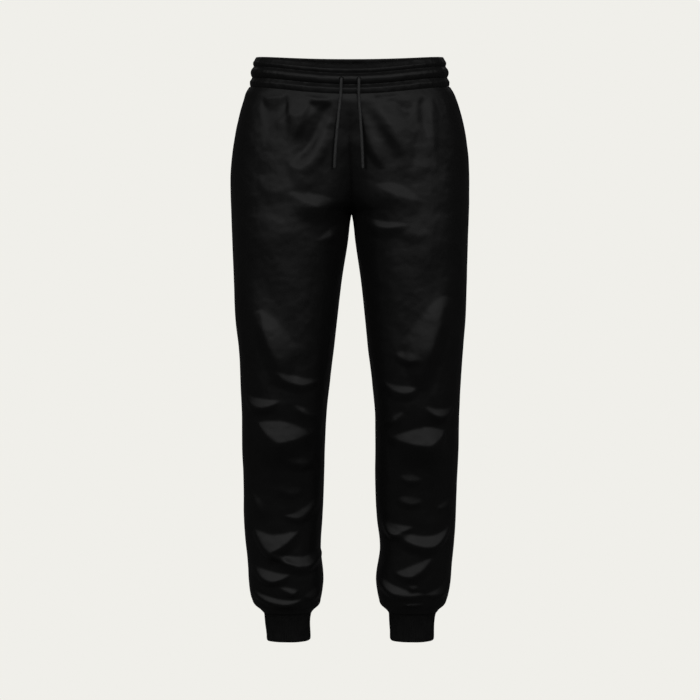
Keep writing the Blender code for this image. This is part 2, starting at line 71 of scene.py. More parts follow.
# Driving dimensions
CLOTH = 0.0022  # thickness of the fleece
WAIST_HALF_WIDTH = 0.1665
WAIST_HALF_DEPTH = 0.0965
WAIST_SHIFT = -0.0006  # the waist sits a little to the wearer's right
CROTCH_DROP = 0.2485
SQUARENESS = 0.90  # power of sine and cosine in a section; 1 is an ellipse
FRONT_DIP = (0.015, 0.010)  # how far the waist drops in front: along the sine, and in the middle
BACK_RISE = 0.010
CORD_DIAMETER = 0.0045
SEAM_WIDTH = 0.0024
SOFT_WAVES = 0.0022  # height of the slow waves in worn cloth, as a share of their length
WAVE_LENGTHS = (0.120, 0.085, 0.060, 0.045, 0.035)
WAVE_SEED = 40
WAVE_SQUEEZE = 1.3  # how much closer the slow waves lie across a leg than along it
WAVE_SWAY, WAVE_SWAY_PACE, WAVE_BEND = 0.8, 0.37, 1.1  # how a slow wave strays from a straight one
HOLLOW_DEPTH = 0.007  # how far the middle of the front lies back between the thighs
HOLLOW_WIDTH = 0.034  # to either side of the middle, where about a third of that depth is left
HOLLOW_TOP, HOLLOW_GROWTH, HOLLOW_END = 0.05, 0.07, 0.06  # its top, and how it comes and goes
BLEND_SPAN = 0.025  # a section is an even blend of those up to this far above and below it
BLEND_TOP, BLEND_GROWTH = 0.05, 0.04  # where that starts, and over what drop it comes in
BLEND_BOTTOM, BLEND_END = 0.89, 0.05  # where it stops, and over what drop it goes out
SIDE_CALM = 0.06  # folds end this near the side seam, as a share of the panel's width
END_CALM = 0.02  # slow waves end this near the waistband and the cuff
MIDDLE_CALM = 0.02  # cloth stays in the middle of the body in this share of the panel's width
CROTCH_CALM = 0.02  # and until this far below the crotch
FOLD_DROOP = 0.35  # how far a fold hangs down, as a share of how far it stands out

# Fineness of the meshes. A panel's outer face has twice the rows and columns of its inside.
PANEL_COLUMNS = 56
PANEL_ROWS = 240
EDGE_CROWDING = 0.45  # how much closer a panel's columns lie at its edges than evenly
SHARP_ANGLE = 50  # degrees; faces that meet at more than this have a hard edge
BROAD_SHARE = 8 / 11  # of a panel's columns, the broad ones next to the side seam
BAND_COLUMNS = 840
BAND_STEPS, CUFF_STEPS = 2, 3  # between two rows of the waistband's and a cuff's profile
CUFF_RIBS = 92
COLUMNS_PER_RIB = 6
CORD_AROUND = 28
CORD_RINGS = 420
FINE_STEPS = 2000  # along a curve before its points are spaced evenly
THREAD_SIDES = 6

# Waistband, cuffs and sewing
BUTTONHOLE_RADIUS = 0.0026
BUTTONHOLE_TALL = 1.35  # how much taller it is than wide
BUTTONHOLE_DENT = 0.0016
BUTTONHOLE_EDGE = 0.0016  # how wide the stitching round it is
BUTTONHOLE_STITCHES = 44
BRAID_STRANDS = 16
BRAID_PITCH = 0.0052  # along the cord for one wave of a strand
CORD_GIRTH = 0.014  # once round the cord
CORD_END = CORD_DIAMETER / 3  # over which a cut end is rounded off
CORD_TIP = 0.02  # share of that at which the cut end begins, so that it has a face
THREAD = 0.0005
STITCH_GAP = 0.0007
STITCH_BOW = (-0.6, 0.1, 0.3, 0.1, -0.6)  # of a stitch's points over the cloth, in threads
HOLE_STITCH_BOW = (-0.8, 0.4, 0.6, 0.4, -0.6)
RIB_MIDDLE = 0.7  # of a rib's height, where it lies level with the cuff
RIB_WRAP = 0.0022  # ribs fade out over this much of the cuff's folded end
RIB_START, SLACK_START = 0.006, 0.01  # below the cuff's seam, for its ribs and its slack to come in
BAND_STITCHED = 0.02  # rows of stitching lie this near the middle of the waistband's height
FLEECE_WALE = 0.0010  # width of a column of loops
FLEECE_COURSE = 0.0008  # height of a row of loops
CLOTH_FIBRE, THREAD_FIBRE = 0.0008, 0.0003  # size of the clumps of fibre in the bump
WAVE_REPEAT = 0.3142  # a wave texture repeats each 0.3142 of its scaled length
WEAR_SIZE = 0.024  # of the blotches that wear leaves in the fleece
WEAR_DEPTH = 0.0005
NOISE_SPREAD = {"From_Min": 0.3, "From_Max": 0.7}  # most values of a noise texture lie in this
SOFT_STEP = {"interpolation_type": "SMOOTHSTEP", "clamp": True}

# Soft light as a function of direction: a sum of fields, each a product of soft steps. A step goes
# by how far a direction points up, Z, or back, Y, from From_Min to From_Max, and is To_Min before
# and To_Max after. All but the dim light fade out straight above, by CEILING.
Step = namedtuple("Step", "axis From_Min From_Max To_Min To_Max")
CEILING = Step("Z", 0.73, 0.89, 1.0, 0.0)
LIGHT_FIELDS = {
    "dim": [Step("Y", -0.3, 0.6, 0.04, 0.014)],
    "fill": [Step("Z", -0.15, 0.05, 0.0, 0.14), Step("Y", -0.95, -0.45, 1.0, 0.0), CEILING],
    "middle": [Step("Z", 0.06, 0.20, 0.0, 0.16), Step("Y", -0.80, -0.20, 1.0, 0.0), CEILING],
    "key": [Step("Z", 0.30, 0.42, 0.0, 0.44), Step("Y", -0.40, 0.22, 1.0, 0.0), CEILING],
    "rear": [Step("Z", 0.34, 0.50, 0.0, 0.55), Step("Y", 0.68, 0.94, 0.0, 1.0), CEILING],
}

# Sections of a leg. drop is below the origin, right and left are from the middle of the body to
# that leg's side seam, seam is where that lies front to back, and front and back are from there.
SECTIONS = named_rows(
    "drop right left seam front back",
    (0.0265, 0.1762, 0.1750, 0.000, 0.1053, 0.1053),
    (0.0350, 0.1814, 0.1806, 0.001, 0.1085, 0.1090),
    (0.0490, 0.1859, 0.1866, 0.002, 0.1110, 0.1130),
    (0.0750, 0.1938, 0.1947, 0.004, 0.1150, 0.1190),
    (0.1100, 0.2014, 0.2028, 0.006, 0.1190, 0.1240),
    (0.1450, 0.2067, 0.2072, 0.007, 0.1210, 0.1260),
    (0.1800, 0.2094, 0.2089, 0.007, 0.1220, 0.1240),
    (0.2240, 0.2086, 0.2086, 0.005, 0.1220, 0.1130),
    (0.2485, 0.2078, 0.2078, 0.002, 0.1200, 0.1040),
    (0.2940, 0.2057, 0.2057, -0.006, 0.1140, 0.0970),
    (0.3640, 0.2020, 0.2030, -0.020, 0.1010, 0.0900),
    (0.4340, 0.1985, 0.2002, -0.030, 0.0910, 0.0830),
    (0.4603, 0.1954, 0.1980, -0.033, 0.0875, 0.0810),
    (0.4865, 0.1917, 0.1953, -0.036, 0.0840, 0.0790),
    (0.5040, 0.1903, 0.1941, -0.037, 0.0825, 0.0780),
    (0.5390, 0.1899, 0.1920, -0.038, 0.0800, 0.0760),
    (0.5915, 0.1870, 0.1886, -0.038, 0.0760, 0.0750),
    (0.6440, 0.1874, 0.1888, -0.030, 0.0730, 0.0760),
    (0.7140, 0.1852, 0.1862, -0.016, 0.0710, 0.0760),
    (0.7840, 0.1852, 0.1843, -0.007, 0.0690, 0.0720),
    (0.8190, 0.1830, 0.1821, -0.004, 0.0680, 0.0690),
    (0.8540, 0.1784, 0.1784, -0.002, 0.0660, 0.0670),
    (0.8890, 0.1769, 0.1760, 0.000, 0.0650, 0.0650),
    (0.9065, 0.1748, 0.1732, 0.001, 0.0630, 0.0630),
    (0.9188, 0.1719, 0.1702, 0.002, 0.0600, 0.0600),
    (0.9328, 0.1650, 0.1638, 0.003, 0.0540, 0.0540),
    (0.9398, 0.1564, 0.1555, 0.004, 0.0490, 0.0490),
    (0.9432, 0.1532, 0.1532, 0.004, 0.0470, 0.0470),
)
WAIST_SEAM_DROP, HEM_DROP = SECTIONS[0].drop, SECTIONS[-1].drop

# Inner side of a leg. Below the crotch, gap is from the middle of the body to the inseam.
INSEAMS = named_rows(
    "drop gap",
    (0.2485, 0.0000),
    (0.2580, 0.0018),
    (0.2940, 0.0059),
    (0.3640, 0.0163),
    (0.4340, 0.0241),
    (0.4865, 0.0296),
    (0.5390, 0.0363),
    (0.5915, 0.0415),
    (0.6440, 0.0433),
    (0.7140, 0.0444),
    (0.7840, 0.0477),
    (0.8190, 0.0512),
    (0.8360, 0.0514),
    (0.8540, 0.0491),
    (0.8715, 0.0466),
    (0.8890, 0.0458),
    (0.9065, 0.0477),
    (0.9188, 0.0500),
    (0.9328, 0.0549),
    (0.9398, 0.0629),
    (0.9432, 0.0659),
)

# Where a section stands out furthest, in front and at the back: it moves out from the middle as the
# legs part, and sooner in front, so that the middle of the front lies back between the thighs
CRESTS = named_rows(
    "drop front back",
    (0.0265, 0.0000, 0.0000),
    (0.0490, 0.0080, 0.0003),
    (0.0750, 0.0200, 0.0005),
    (0.1100, 0.0350, 0.0040),
    (0.1450, 0.0500, 0.0200),
    (0.1800, 0.0640, 0.0430),
    (0.2240, 0.0800, 0.0730),
    (0.2485, 0.0870, 0.0870),
    (0.2700, 0.0960, 0.0960),
    (0.2940, 0.1020, 0.1020),
    (0.3300, 0.1070, 0.1070),
    (0.3640, 0.1095, 0.1095),
    (0.4340, 0.1115, 0.1115),
    (0.5390, 0.1135, 0.1135),
    (0.6440, 0.1155, 0.1155),
    (0.8190, 0.1165, 0.1165),
    (0.8890, 0.1110, 0.1110),
    (0.9432, 0.1096, 0.1096),
)

# The middle of the body wanders: lean is towards the wearer's left, all of it at the inseams
MIDDLES = named_rows(
    "drop lean",
    (0.0265, -0.0006),
    (0.0750, -0.0004),
    (0.1450, 0.0006),
    (0.2000, 0.0020),
    (0.2485, 0.0028),
    (0.3640, 0.0024),
    (0.4865, 0.0018),
    (0.5915, 0.0015),
    (0.6440, 0.0004),
    (0.7140, -0.0006),
    (0.7840, -0.0005),
    (0.8190, 0.0006),
    (0.8890, -0.0005),
    (0.9432, 0.0000),
)

# Above the crotch the two legs run together: front and back are how far a leg's section would pass
# the middle of the body if it were not cut there. At the waist it would reach the other side seam.
FORKS = named_rows(
    "drop front back",
    (0.0265, 0.1745, 0.1745),
    (0.0490, 0.1560, 0.1864),
    (0.0750, 0.1240, 0.1942),
    (0.1100, 0.0900, 0.1930),
    (0.1450, 0.0700, 0.1640),
    (0.1800, 0.0580, 0.1190),
    (0.2000, 0.0480, 0.0880),
    (0.2240, 0.0320, 0.0460),
    (0.2360, 0.0190, 0.0240),
    (0.2430, 0.0090, 0.0105),
    (0.2485, 0.0000, 0.0000),
)

# How far round its section a panel's broad columns reach, in degrees. The narrow ones go on from
# there to the middle of the body or the inseam, which moves fast near the crotch.
SPREADS = named_rows(
    "drop turn",
    (0.0265, 65.5),
    (0.1100, 76.0),
    (0.1800, 88.0),
    (0.2240, 104.0),
    (0.2485, 116.0),
    (0.2800, 126.0),
    (0.3200, 131.0),
    (0.9432, 131.0),
)

# How near the inseam or the middle of the body creases end, as a share of the panel's width
SEAM_CALMS = named_rows(
    "drop share",
    (0.0265, 0.05),
    (0.1600, 0.05),
    (0.2200, 0.14),
    (0.2700, 0.16),
    (0.4000, 0.08),
    (0.9432, 0.08),
)

# Folds as seen from the front or the back. Each lies along a line from (x0, drop0) to (x1, drop1),
# x measured outwards from the middle of the body. Between its upper and lower edge the cloth rises
# evenly by slope, and over fall below the lower edge it goes back in. The edges bow down from the
# line by top and bottom, furthest at apex, a share of the length: round is 1 for a pointed bow and
# 2 or more for a round one. soft rounds the edges. A fold with a negative slope is a hollow.
FOLD_COLUMNS = "x0 drop0 x1 drop1 top bottom apex round slope fall soft"
FRONT_FOLDS_RIGHT = named_rows(
    FOLD_COLUMNS,
    # gathers under the waistband
    (0.108, 0.057, 0.067, 0.061, -0.0051, 0.0272, 0.50, 2.4, 0.17, 0.051, 0.0030),
    (0.074, 0.054, 0.030, 0.059, -0.0017, 0.0042, 0.50, 2.0, 0.30, 0.014, 0.0010),
    (0.069, 0.064, 0.028, 0.066, -0.0017, 0.0136, 0.50, 2.4, -0.18, 0.034, 0.0025),
    (0.038, 0.065, 0.101, 0.173, -0.0187, 0.0068, 0.60, 1.8, -0.28, 0.020, 0.0022),
    (0.111, 0.049, 0.123, 0.095, -0.0051, 0.0051, 0.50, 2.0, -0.30, 0.012, 0.0015),
    (0.149, 0.051, 0.111, 0.052, -0.0017, 0.0034, 0.50, 2.0, 0.30, 0.027, 0.0010),
    # from the waistband out over the hip
    (0.040, 0.111, 0.087, 0.186, -0.0102, 0.0085, 0.50, 2.0, 0.17, 0.020, 0.0030),
    (0.152, 0.056, 0.111, 0.057, 0.0000, 0.0306, 0.50, 2.0, -0.09, 0.068, 0.0040),
    (0.113, 0.066, 0.145, 0.148, -0.0102, 0.0051, 0.40, 2.0, 0.16, 0.015, 0.0030),
    (0.111, 0.162, 0.047, 0.155, -0.0085, 0.0220, 0.50, 2.0, 0.10, 0.051, 0.0050),
    (0.158, 0.193, 0.101, 0.206, -0.0102, 0.0135, 0.50, 2.0, 0.09, 0.034, 0.0060),
    # from the crotch over the thigh
    (0.107, 0.218, 0.021, 0.232, -0.0034, 0.0169, 0.62, 1.5, 0.25, 0.037, 0.0020),
    (0.018, 0.266, 0.058, 0.301, -0.0017, 0.0085, 0.50, 1.6, 0.34, 0.017, 0.0013),
    (0.148, 0.259, 0.084, 0.288, -0.0135, 0.0101, 0.50, 2.0, 0.08, 0.034, 0.0060),
    (0.155, 0.295, 0.117, 0.447, -0.0270, 0.0068, 0.50, 2.0, -0.13, 0.044, 0.0060),
    # down to the inside of the knee
    (0.153, 0.418, 0.104, 0.548, -0.0338, 0.0017, 0.55, 1.8, 0.29, 0.027, 0.0030),
    # over the knee
    (0.126, 0.518, 0.052, 0.535, 0.0051, 0.0161, 0.45, 2.6, 0.48, 0.019, 0.0011),
    (0.177, 0.560, 0.120, 0.572, 0.0034, 0.0170, 0.42, 2.0, 0.46, 0.020, 0.0011),
    (0.094, 0.579, 0.052, 0.598, -0.0017, 0.0068, 0.45, 1.6, 0.46, 0.015, 0.0011),
    (0.159, 0.608, 0.060, 0.625, -0.0085, 0.0230, 0.42, 1.3, 0.55, 0.058, 0.0014),
    (0.113, 0.670, 0.059, 0.675, -0.0051, 0.0068, 0.50, 2.0, 0.48, 0.019, 0.0022),
    (0.126, 0.721, 0.078, 0.725, -0.0068, 0.0068, 0.50, 2.0, 0.20, 0.015, 0.0040),
    (0.170, 0.725, 0.145, 0.773, -0.0068, 0.0017, 0.50, 2.0, 0.36, 0.014, 0.0018),
    # stacked above the cuff
    (0.114, 0.770, 0.054, 0.737, 0.0051, 0.0154, 0.36, 1.7, 0.46, 0.017, 0.0011),
    (0.167, 0.791, 0.086, 0.796, 0.0103, 0.0360, 0.42, 1.3, 0.48, 0.031, 0.0012),
    (0.136, 0.829, 0.044, 0.823, 0.0154, 0.0300, 0.58, 2.0, 0.58, 0.021, 0.0010),
    (0.133, 0.829, 0.095, 0.851, -0.0017, 0.0051, 0.50, 2.0, 0.40, 0.010, 0.0010),
    (0.169, 0.855, 0.102, 0.872, 0.0034, 0.0172, 0.55, 1.8, 0.56, 0.017, 0.0011),
    (0.171, 0.897, 0.078, 0.914, 0.0086, 0.0163, 0.55, 2.2, 0.92, 0.015, 0.0009),
    (0.123, 0.893, 0.087, 0.900, -0.0017, 0.0069, 0.70, 1.6, 0.50, 0.012, 0.0010),
    (0.083, 0.912, 0.052, 0.893, -0.0017, 0.0086, 0.50, 2.0, 0.50, 0.014, 0.0014),
)
FRONT_FOLDS_LEFT = named_rows(
    FOLD_COLUMNS,
    # gathers under the waistband
    (0.045, 0.056, 0.106, 0.175, -0.0407, 0.0000, 0.42, 1.6, 0.20, 0.025, 0.0025),
    (0.038, 0.057, 0.082, 0.052, -0.0017, 0.0034, 0.50, 2.0, 0.26, 0.014, 0.0010),
    (0.077, 0.064, 0.111, 0.064, -0.0017, 0.0153, 0.50, 2.0, -0.16, 0.019, 0.0022),
    # from the waistband out over the hip
    (0.023, 0.077, 0.059, 0.179, -0.0085, 0.0051, 0.66, 1.8, 0.28, 0.017, 0.0025),
    (0.142, 0.049, 0.147, 0.158, -0.0085, 0.0051, 0.30, 2.0, 0.22, 0.010, 0.0020),
    (0.127, 0.051, 0.135, 0.124, -0.0051, 0.0051, 0.50, 2.0, -0.30, 0.014, 0.0015),
    (0.072, 0.162, 0.140, 0.165, -0.0068, 0.0170, 0.50, 2.0, 0.10, 0.027, 0.0050),
    # from the crotch over the thigh
    (0.040, 0.206, 0.121, 0.235, -0.0135, 0.0034, 0.45, 1.8, 0.25, 0.034, 0.0020),
    (0.018, 0.256, 0.099, 0.273, 0.0034, 0.0135, 0.45, 1.8, 0.38, 0.024, 0.0012),
    (0.085, 0.278, 0.146, 0.281, -0.0135, 0.0101, 0.50, 2.0, 0.07, 0.030, 0.0060),
    (0.153, 0.301, 0.123, 0.420, -0.0237, 0.0068, 0.50, 2.0, -0.09, 0.041, 0.0060),
    # down to the inside of the knee
    (0.158, 0.393, 0.109, 0.553, -0.0406, 0.0017, 0.60, 1.6, 0.30, 0.029, 0.0030),
    (0.075, 0.492, 0.118, 0.498, -0.0068, 0.0085, 0.55, 1.6, 0.26, 0.014, 0.0016),
    # over the knee
    (0.055, 0.538, 0.118, 0.547, 0.0051, 0.0153, 0.55, 2.4, 0.42, 0.019, 0.0011),
    (0.127, 0.581, 0.177, 0.581, 0.0051, 0.0170, 0.50, 2.0, 0.44, 0.019, 0.0011),
    (0.055, 0.608, 0.089, 0.591, -0.0017, 0.0068, 0.50, 1.8, 0.42, 0.014, 0.0013),
    (0.064, 0.634, 0.164, 0.623, -0.0102, 0.0179, 0.66, 1.4, 0.55, 0.053, 0.0014),
    (0.083, 0.702, 0.125, 0.706, -0.0051, 0.0051, 0.50, 2.0, 0.34, 0.014, 0.0020),
    (0.081, 0.740, 0.126, 0.744, -0.0051, 0.0068, 0.50, 2.0, 0.34, 0.014, 0.0020),
    (0.148, 0.758, 0.174, 0.740, -0.0017, 0.0051, 0.50, 2.0, 0.42, 0.014, 0.0015),
    # stacked above the cuff
    (0.056, 0.777, 0.109, 0.790, 0.0017, 0.0171, 0.40, 1.5, 0.48, 0.017, 0.0012),
    (0.063, 0.787, 0.174, 0.784, 0.0205, 0.0368, 0.64, 1.9, 0.54, 0.024, 0.0011),
    (0.075, 0.870, 0.142, 0.841, 0.0000, 0.0154, 0.40, 1.7, 0.48, 0.019, 0.0011),
    (0.046, 0.872, 0.135, 0.907, 0.0069, 0.0180, 0.42, 1.8, 0.66, 0.017, 0.0009),
    (0.128, 0.908, 0.171, 0.879, 0.0034, 0.0137, 0.50, 1.8, 0.50, 0.014, 0.0010),
    (0.101, 0.888, 0.118, 0.896, -0.0017, 0.0052, 0.50, 2.0, 0.40, 0.009, 0.0012),
    (0.082, 0.921, 0.133, 0.923, 0.0000, 0.0045, 0.50, 2.0, 0.70, 0.005, 0.0008),
)
BACK_FOLDS_RIGHT = named_rows(
    FOLD_COLUMNS,
    (0.060, 0.046, 0.062, 0.104, -0.0077, 0.0063, 0.50, 1.8, -0.20, 0.022, 0.0030),
    (0.120, 0.044, 0.124, 0.092, -0.0070, 0.0060, 0.50, 1.8, -0.20, 0.020, 0.0030),
    (0.090, 0.044, 0.086, 0.100, -0.0084, 0.0066, 0.50, 1.8, 0.17, 0.024, 0.0030),
    # under the seat
    (0.036, 0.262, 0.146, 0.276, -0.0026, 0.0184, 0.50, 1.8, 0.24, 0.020, 0.0030),
    (0.046, 0.300, 0.136, 0.318, -0.0011, 0.0149, 0.50, 1.8, -0.20, 0.020, 0.0030),
    (0.030, 0.330, 0.110, 0.350, -0.0038, 0.0132, 0.50, 1.8, 0.20, 0.018, 0.0030),
    (0.152, 0.430, 0.080, 0.520, -0.0126, 0.0084, 0.50, 1.8, 0.22, 0.024, 0.0030),
    # behind the knee
    (0.176, 0.560, 0.056, 0.576, 0.0028, 0.0218, 0.50, 1.8, 0.35, 0.021, 0.0020),
    (0.172, 0.602, 0.060, 0.598, -0.0144, 0.0006, 0.50, 1.8, 0.35, 0.024, 0.0020),
    (0.150, 0.636, 0.066, 0.634, 0.0036, 0.0186, 0.50, 1.8, 0.28, 0.024, 0.0020),
    (0.166, 0.676, 0.056, 0.700, -0.0072, 0.0118, 0.50, 1.8, 0.23, 0.027, 0.0020),
    (0.172, 0.766, 0.056, 0.790, 0.0048, 0.0238, 0.50, 1.8, 0.31, 0.024, 0.0020),
    # stacked above the cuff
    (0.168, 0.820, 0.092, 0.812, 0.0049, 0.0209, 0.50, 1.8, 0.35, 0.021, 0.0020),
    (0.136, 0.846, 0.052, 0.834, 0.0082, 0.0252, 0.50, 1.8, 0.35, 0.021, 0.0020),
    (0.170, 0.872, 0.086, 0.884, 0.0056, 0.0206, 0.50, 1.8, 0.35, 0.018, 0.0020),
    (0.148, 0.906, 0.056, 0.898, 0.0063, 0.0203, 0.50, 1.8, 0.35, 0.018, 0.0020),
)
BACK_FOLDS_LEFT = named_rows(
    FOLD_COLUMNS,
    (0.066, 0.046, 0.064, 0.098, -0.0077, 0.0063, 0.50, 1.8, -0.20, 0.022, 0.0030),
    (0.126, 0.044, 0.128, 0.102, -0.0070, 0.0060, 0.50, 1.8, -0.20, 0.020, 0.0030),
    (0.096, 0.044, 0.100, 0.094, -0.0084, 0.0066, 0.50, 1.8, 0.17, 0.024, 0.0030),
    (0.034, 0.268, 0.140, 0.274, -0.0026, 0.0184, 0.50, 1.8, 0.24, 0.020, 0.0030),
    (0.046, 0.304, 0.132, 0.326, -0.0011, 0.0149, 0.50, 1.8, -0.20, 0.020, 0.0030),
    (0.034, 0.338, 0.120, 0.352, -0.0038, 0.0132, 0.50, 1.8, 0.20, 0.018, 0.0030),
    (0.148, 0.440, 0.092, 0.530, -0.0126, 0.0084, 0.50, 1.8, 0.22, 0.024, 0.0030),
    (0.172, 0.566, 0.058, 0.558, 0.0048, 0.0238, 0.50, 1.8, 0.35, 0.021, 0.0020),
    (0.176, 0.596, 0.064, 0.612, -0.0124, 0.0026, 0.50, 1.8, 0.35, 0.024, 0.0020),
    (0.148, 0.630, 0.058, 0.642, 0.0016, 0.0166, 0.50, 1.8, 0.28, 0.024, 0.0020),
    (0.168, 0.690, 0.064, 0.680, -0.0052, 0.0138, 0.50, 1.8, 0.23, 0.027, 0.0020),
    (0.174, 0.784, 0.070, 0.770, 0.0028, 0.0218, 0.50, 1.8, 0.31, 0.024, 0.0020),
    (0.134, 0.818, 0.056, 0.824, 0.0029, 0.0189, 0.50, 1.8, 0.35, 0.021, 0.0020),
    (0.174, 0.838, 0.086, 0.850, 0.0062, 0.0232, 0.50, 1.8, 0.35, 0.021, 0.0020),
    (0.146, 0.882, 0.054, 0.872, 0.0076, 0.0226, 0.50, 1.8, 0.35, 0.018, 0.0020),
    (0.166, 0.904, 0.088, 0.908, 0.0003, 0.0143, 0.50, 1.8, 0.35, 0.018, 0.0020),
)
PANEL_FOLDS = {
    (FRONT, RIGHT): FRONT_FOLDS_RIGHT,
    (FRONT, LEFT): FRONT_FOLDS_LEFT,
    (BACK, RIGHT): BACK_FOLDS_RIGHT,
    (BACK, LEFT): BACK_FOLDS_LEFT,
}

# Waistband, from its seam up over the rim and down inside. proud is measured from the waist's ring,
# and loose is how freely the cloth puckers there: none at the stitching.
BAND_PROFILE = named_rows(
    "height proud loose",
    (-0.0262, 0.0071, 0.0),
    (-0.0244, 0.0076, 0.4),
    (-0.0214, 0.0080, 1.0),
    (-0.0180, 0.0081, 1.0),
    (-0.0166, 0.0078, 1.0),
    (-0.0150, 0.0069, 1.0),
    (-0.0112, 0.0046, 0.6),
    (-0.0100, 0.0040, 0.1),
    (-0.0096, 0.0039, 0.0),  # lower row of stitching
    (-0.0091, 0.0042, 0.1),
    (-0.0078, 0.0053, 0.5),
    (-0.0045, 0.0063, 1.0),
    (-0.0010, 0.0065, 1.0),
    (0.0004, 0.0063, 1.0),
    (0.0034, 0.0053, 1.0),
    (0.0048, 0.0045, 1.0),
    (0.0080, 0.0020, 0.6),
    (0.0094, 0.0012, 0.1),
    (0.0098, 0.0011, 0.0),  # upper row of stitching
    (0.0103, 0.0013, 0.1),
    (0.0116, 0.0019, 0.5),
    (0.0140, 0.0023, 0.9),
    (0.0163, 0.0022, 1.0),
    (0.0170, 0.0019, 1.0),
    (0.0186, 0.0009, 1.0),
    (0.0228, -0.0014, 0.9),
    (0.0246, -0.0024, 0.6),
    (0.0257, -0.0034, 0.4),
    (0.0260, -0.0042, 0.4),
    (0.0248, -0.0052, 0.5),
    (0.0200, -0.0046, 0.8),
    (0.0110, -0.0030, 0.3),
    (0.0098, -0.0026, 0.0),
    (0.0080, -0.0020, 0.3),
    (-0.0010, 0.0006, 0.8),
    (-0.0096, 0.0008, 0.0),
    (-0.0172, 0.0018, 0.8),
    (-0.0240, 0.0034, 0.5),
    (-0.0262, 0.0046, 0.0),
)
RIM_ROW = max(range(len(BAND_PROFILE)), key=lambda row: BAND_PROFILE[row].height)

# Gathers of the waistband's cloth on its elastic: upright waves round the waist. share is of their
# whole height, count how many go round, start where they begin and slant how they lean. Each
# wanders by sway, in so many swings round the waist that begin at offset.
GATHERS = named_rows(
    "share count start slant sway swings offset",
    (0.45, 37, 0.6, 60, 0.9, 5, 0),
    (0.35, 61, 2.1, -90, 1.1, 3, 1),
    (0.20, 97, 4.0, 150, 0.8, 7, 0),
)

# Cuff, from its seam down to the folded end and up inside. in_by is from the section's outside.
CUFF_PROFILE = named_rows(
    "drop outer inner seam front back in_by",
    (0.9435, 0.1528, 0.0661, 0.004, 0.0470, 0.0470, 0.0000),
    (0.9460, 0.1509, 0.0675, 0.005, 0.0452, 0.0452, 0.0000),
    (0.9490, 0.1498, 0.0684, 0.005, 0.0442, 0.0442, 0.0000),
    (0.9600, 0.1484, 0.0694, 0.006, 0.0426, 0.0426, 0.0000),
    (0.9770, 0.1470, 0.0698, 0.007, 0.0416, 0.0416, 0.0000),
    (0.9905, 0.1466, 0.0698, 0.007, 0.0414, 0.0414, 0.0001),
    (0.9930, 0.1466, 0.0698, 0.007, 0.0414, 0.0414, 0.0007),
    (0.9936, 0.1466, 0.0698, 0.007, 0.0414, 0.0414, 0.0015),
    (0.9930, 0.1466, 0.0698, 0.007, 0.0414, 0.0414, 0.0023),
    (0.9905, 0.1466, 0.0698, 0.007, 0.0414, 0.0414, 0.0029),
    (0.9770, 0.1470, 0.0698, 0.007, 0.0416, 0.0416, 0.0029),
    (0.9620, 0.1484, 0.0694, 0.006, 0.0426, 0.0426, 0.0029),
    (0.9435, 0.1528, 0.0661, 0.004, 0.0470, 0.0470, 0.0029),
)

# Slack of a worn cuff: waves of some height, count of them round it, leaning by slant from start
CUFF_SLACK = named_rows("height count slant start", (0.0004, 5, 90, 0), (0.0003, 9, -140, 1))

# Free ends of the drawcord: out of the buttonhole, over the lower channel and down the front,
# just off the cloth
CORD_ROUTES = {
    "drawcord_right": [
        (-0.0147, -0.0999, -0.0262),
        (-0.0147, -0.1050, -0.0264),
        (-0.0148, -0.1090, -0.0295),
        (-0.0150, -0.1103, -0.0360),
        (-0.0155, -0.1109, -0.0480),
        (-0.0168, -0.1115, -0.0640),
        (-0.0196, -0.1136, -0.0890),
        (-0.0223, -0.1156, -0.1170),
        (-0.0246, -0.1164, -0.1450),
        (-0.0267, -0.1150, -0.1790),
    ],
    "drawcord_left": [
        (0.0152, -0.0999, -0.0262),
        (0.0152, -0.1050, -0.0264),
        (0.0152, -0.1090, -0.0295),
        (0.0151, -0.1103, -0.0360),
        (0.0150, -0.1109, -0.0480),
        (0.0154, -0.1115, -0.0640),
        (0.0173, -0.1137, -0.0890),
        (0.0190, -0.1158, -0.1170),
        (0.0206, -0.1160, -0.1450),
        (0.0221, -0.1140, -0.1796),
    ],
}


# ---------------------------------------------------------------- curves and sections


def column(table, name):
    """One named column of a table, as an array."""
    return np.array([getattr(row, name) for row in table])


def curve_through(table, name, at):
    """A smooth curve through a table's column: a cubic from row to row, with the neighbours'
    slopes."""
    places, values = column(table, table[0]._fields[0]), column(table, name)
    slopes = np.gradient(values, places)
    at = np.clip(at, places[0], places[-1])
    i = np.clip(np.searchsorted(places, at, side="right") - 1, 0, len(places) - 2)
    step = places[i + 1] - places[i]
    t = (at - places[i]) / step
    rise = values[i + 1] - values[i]
    start, end = slopes[i] * step, slopes[i + 1] * step
    return values[i] + t * (start + t * (3 * rise - 2 * start - end + t * (start + end - 2 * rise)))


def section_at(name, drop):
    """A column of the sections, evened out over BLEND_SPAN so that no row shows as a line of
    light."""
    span = BLEND_SPAN * ease((drop - BLEND_TOP) / BLEND_GROWTH)
    span = span * ease((BLEND_BOTTOM - drop) / BLEND_END)
    near = [curve_through(SECTIONS, name, drop + part * span) for part in (-1, -0.5, 0, 0.5, 1)]
    return (near[0] + near[4] + 2 * (near[1] + near[3]) + 2 * near[2]) / 8


def ease(share):
    """0 at 0 and 1 at 1, with level ends: three times its square less twice its cube."""
    t = np.clip(share, 0, 1)
    return t * t * (3 - 2 * t)


def bell(distance):
    """1 at 0, falling off evenly on both sides: e to the power of minus the square."""
    return np.exp(-(distance**2))


def waist_tilt(half, turn):
    """How far the waist lies above its level at the sides.

    turn is 0 at the side and a right angle at the middle of the front or back.
    """
    along, middle = FRONT_DIP
    dip = along * np.sin(turn) + middle * (1 + np.cos(np.pi * np.cos(turn))) / 2
    rise = BACK_RISE * (1 - (1 - np.sin(turn)) ** 2)
    return np.where(half == FRONT, -dip, rise)


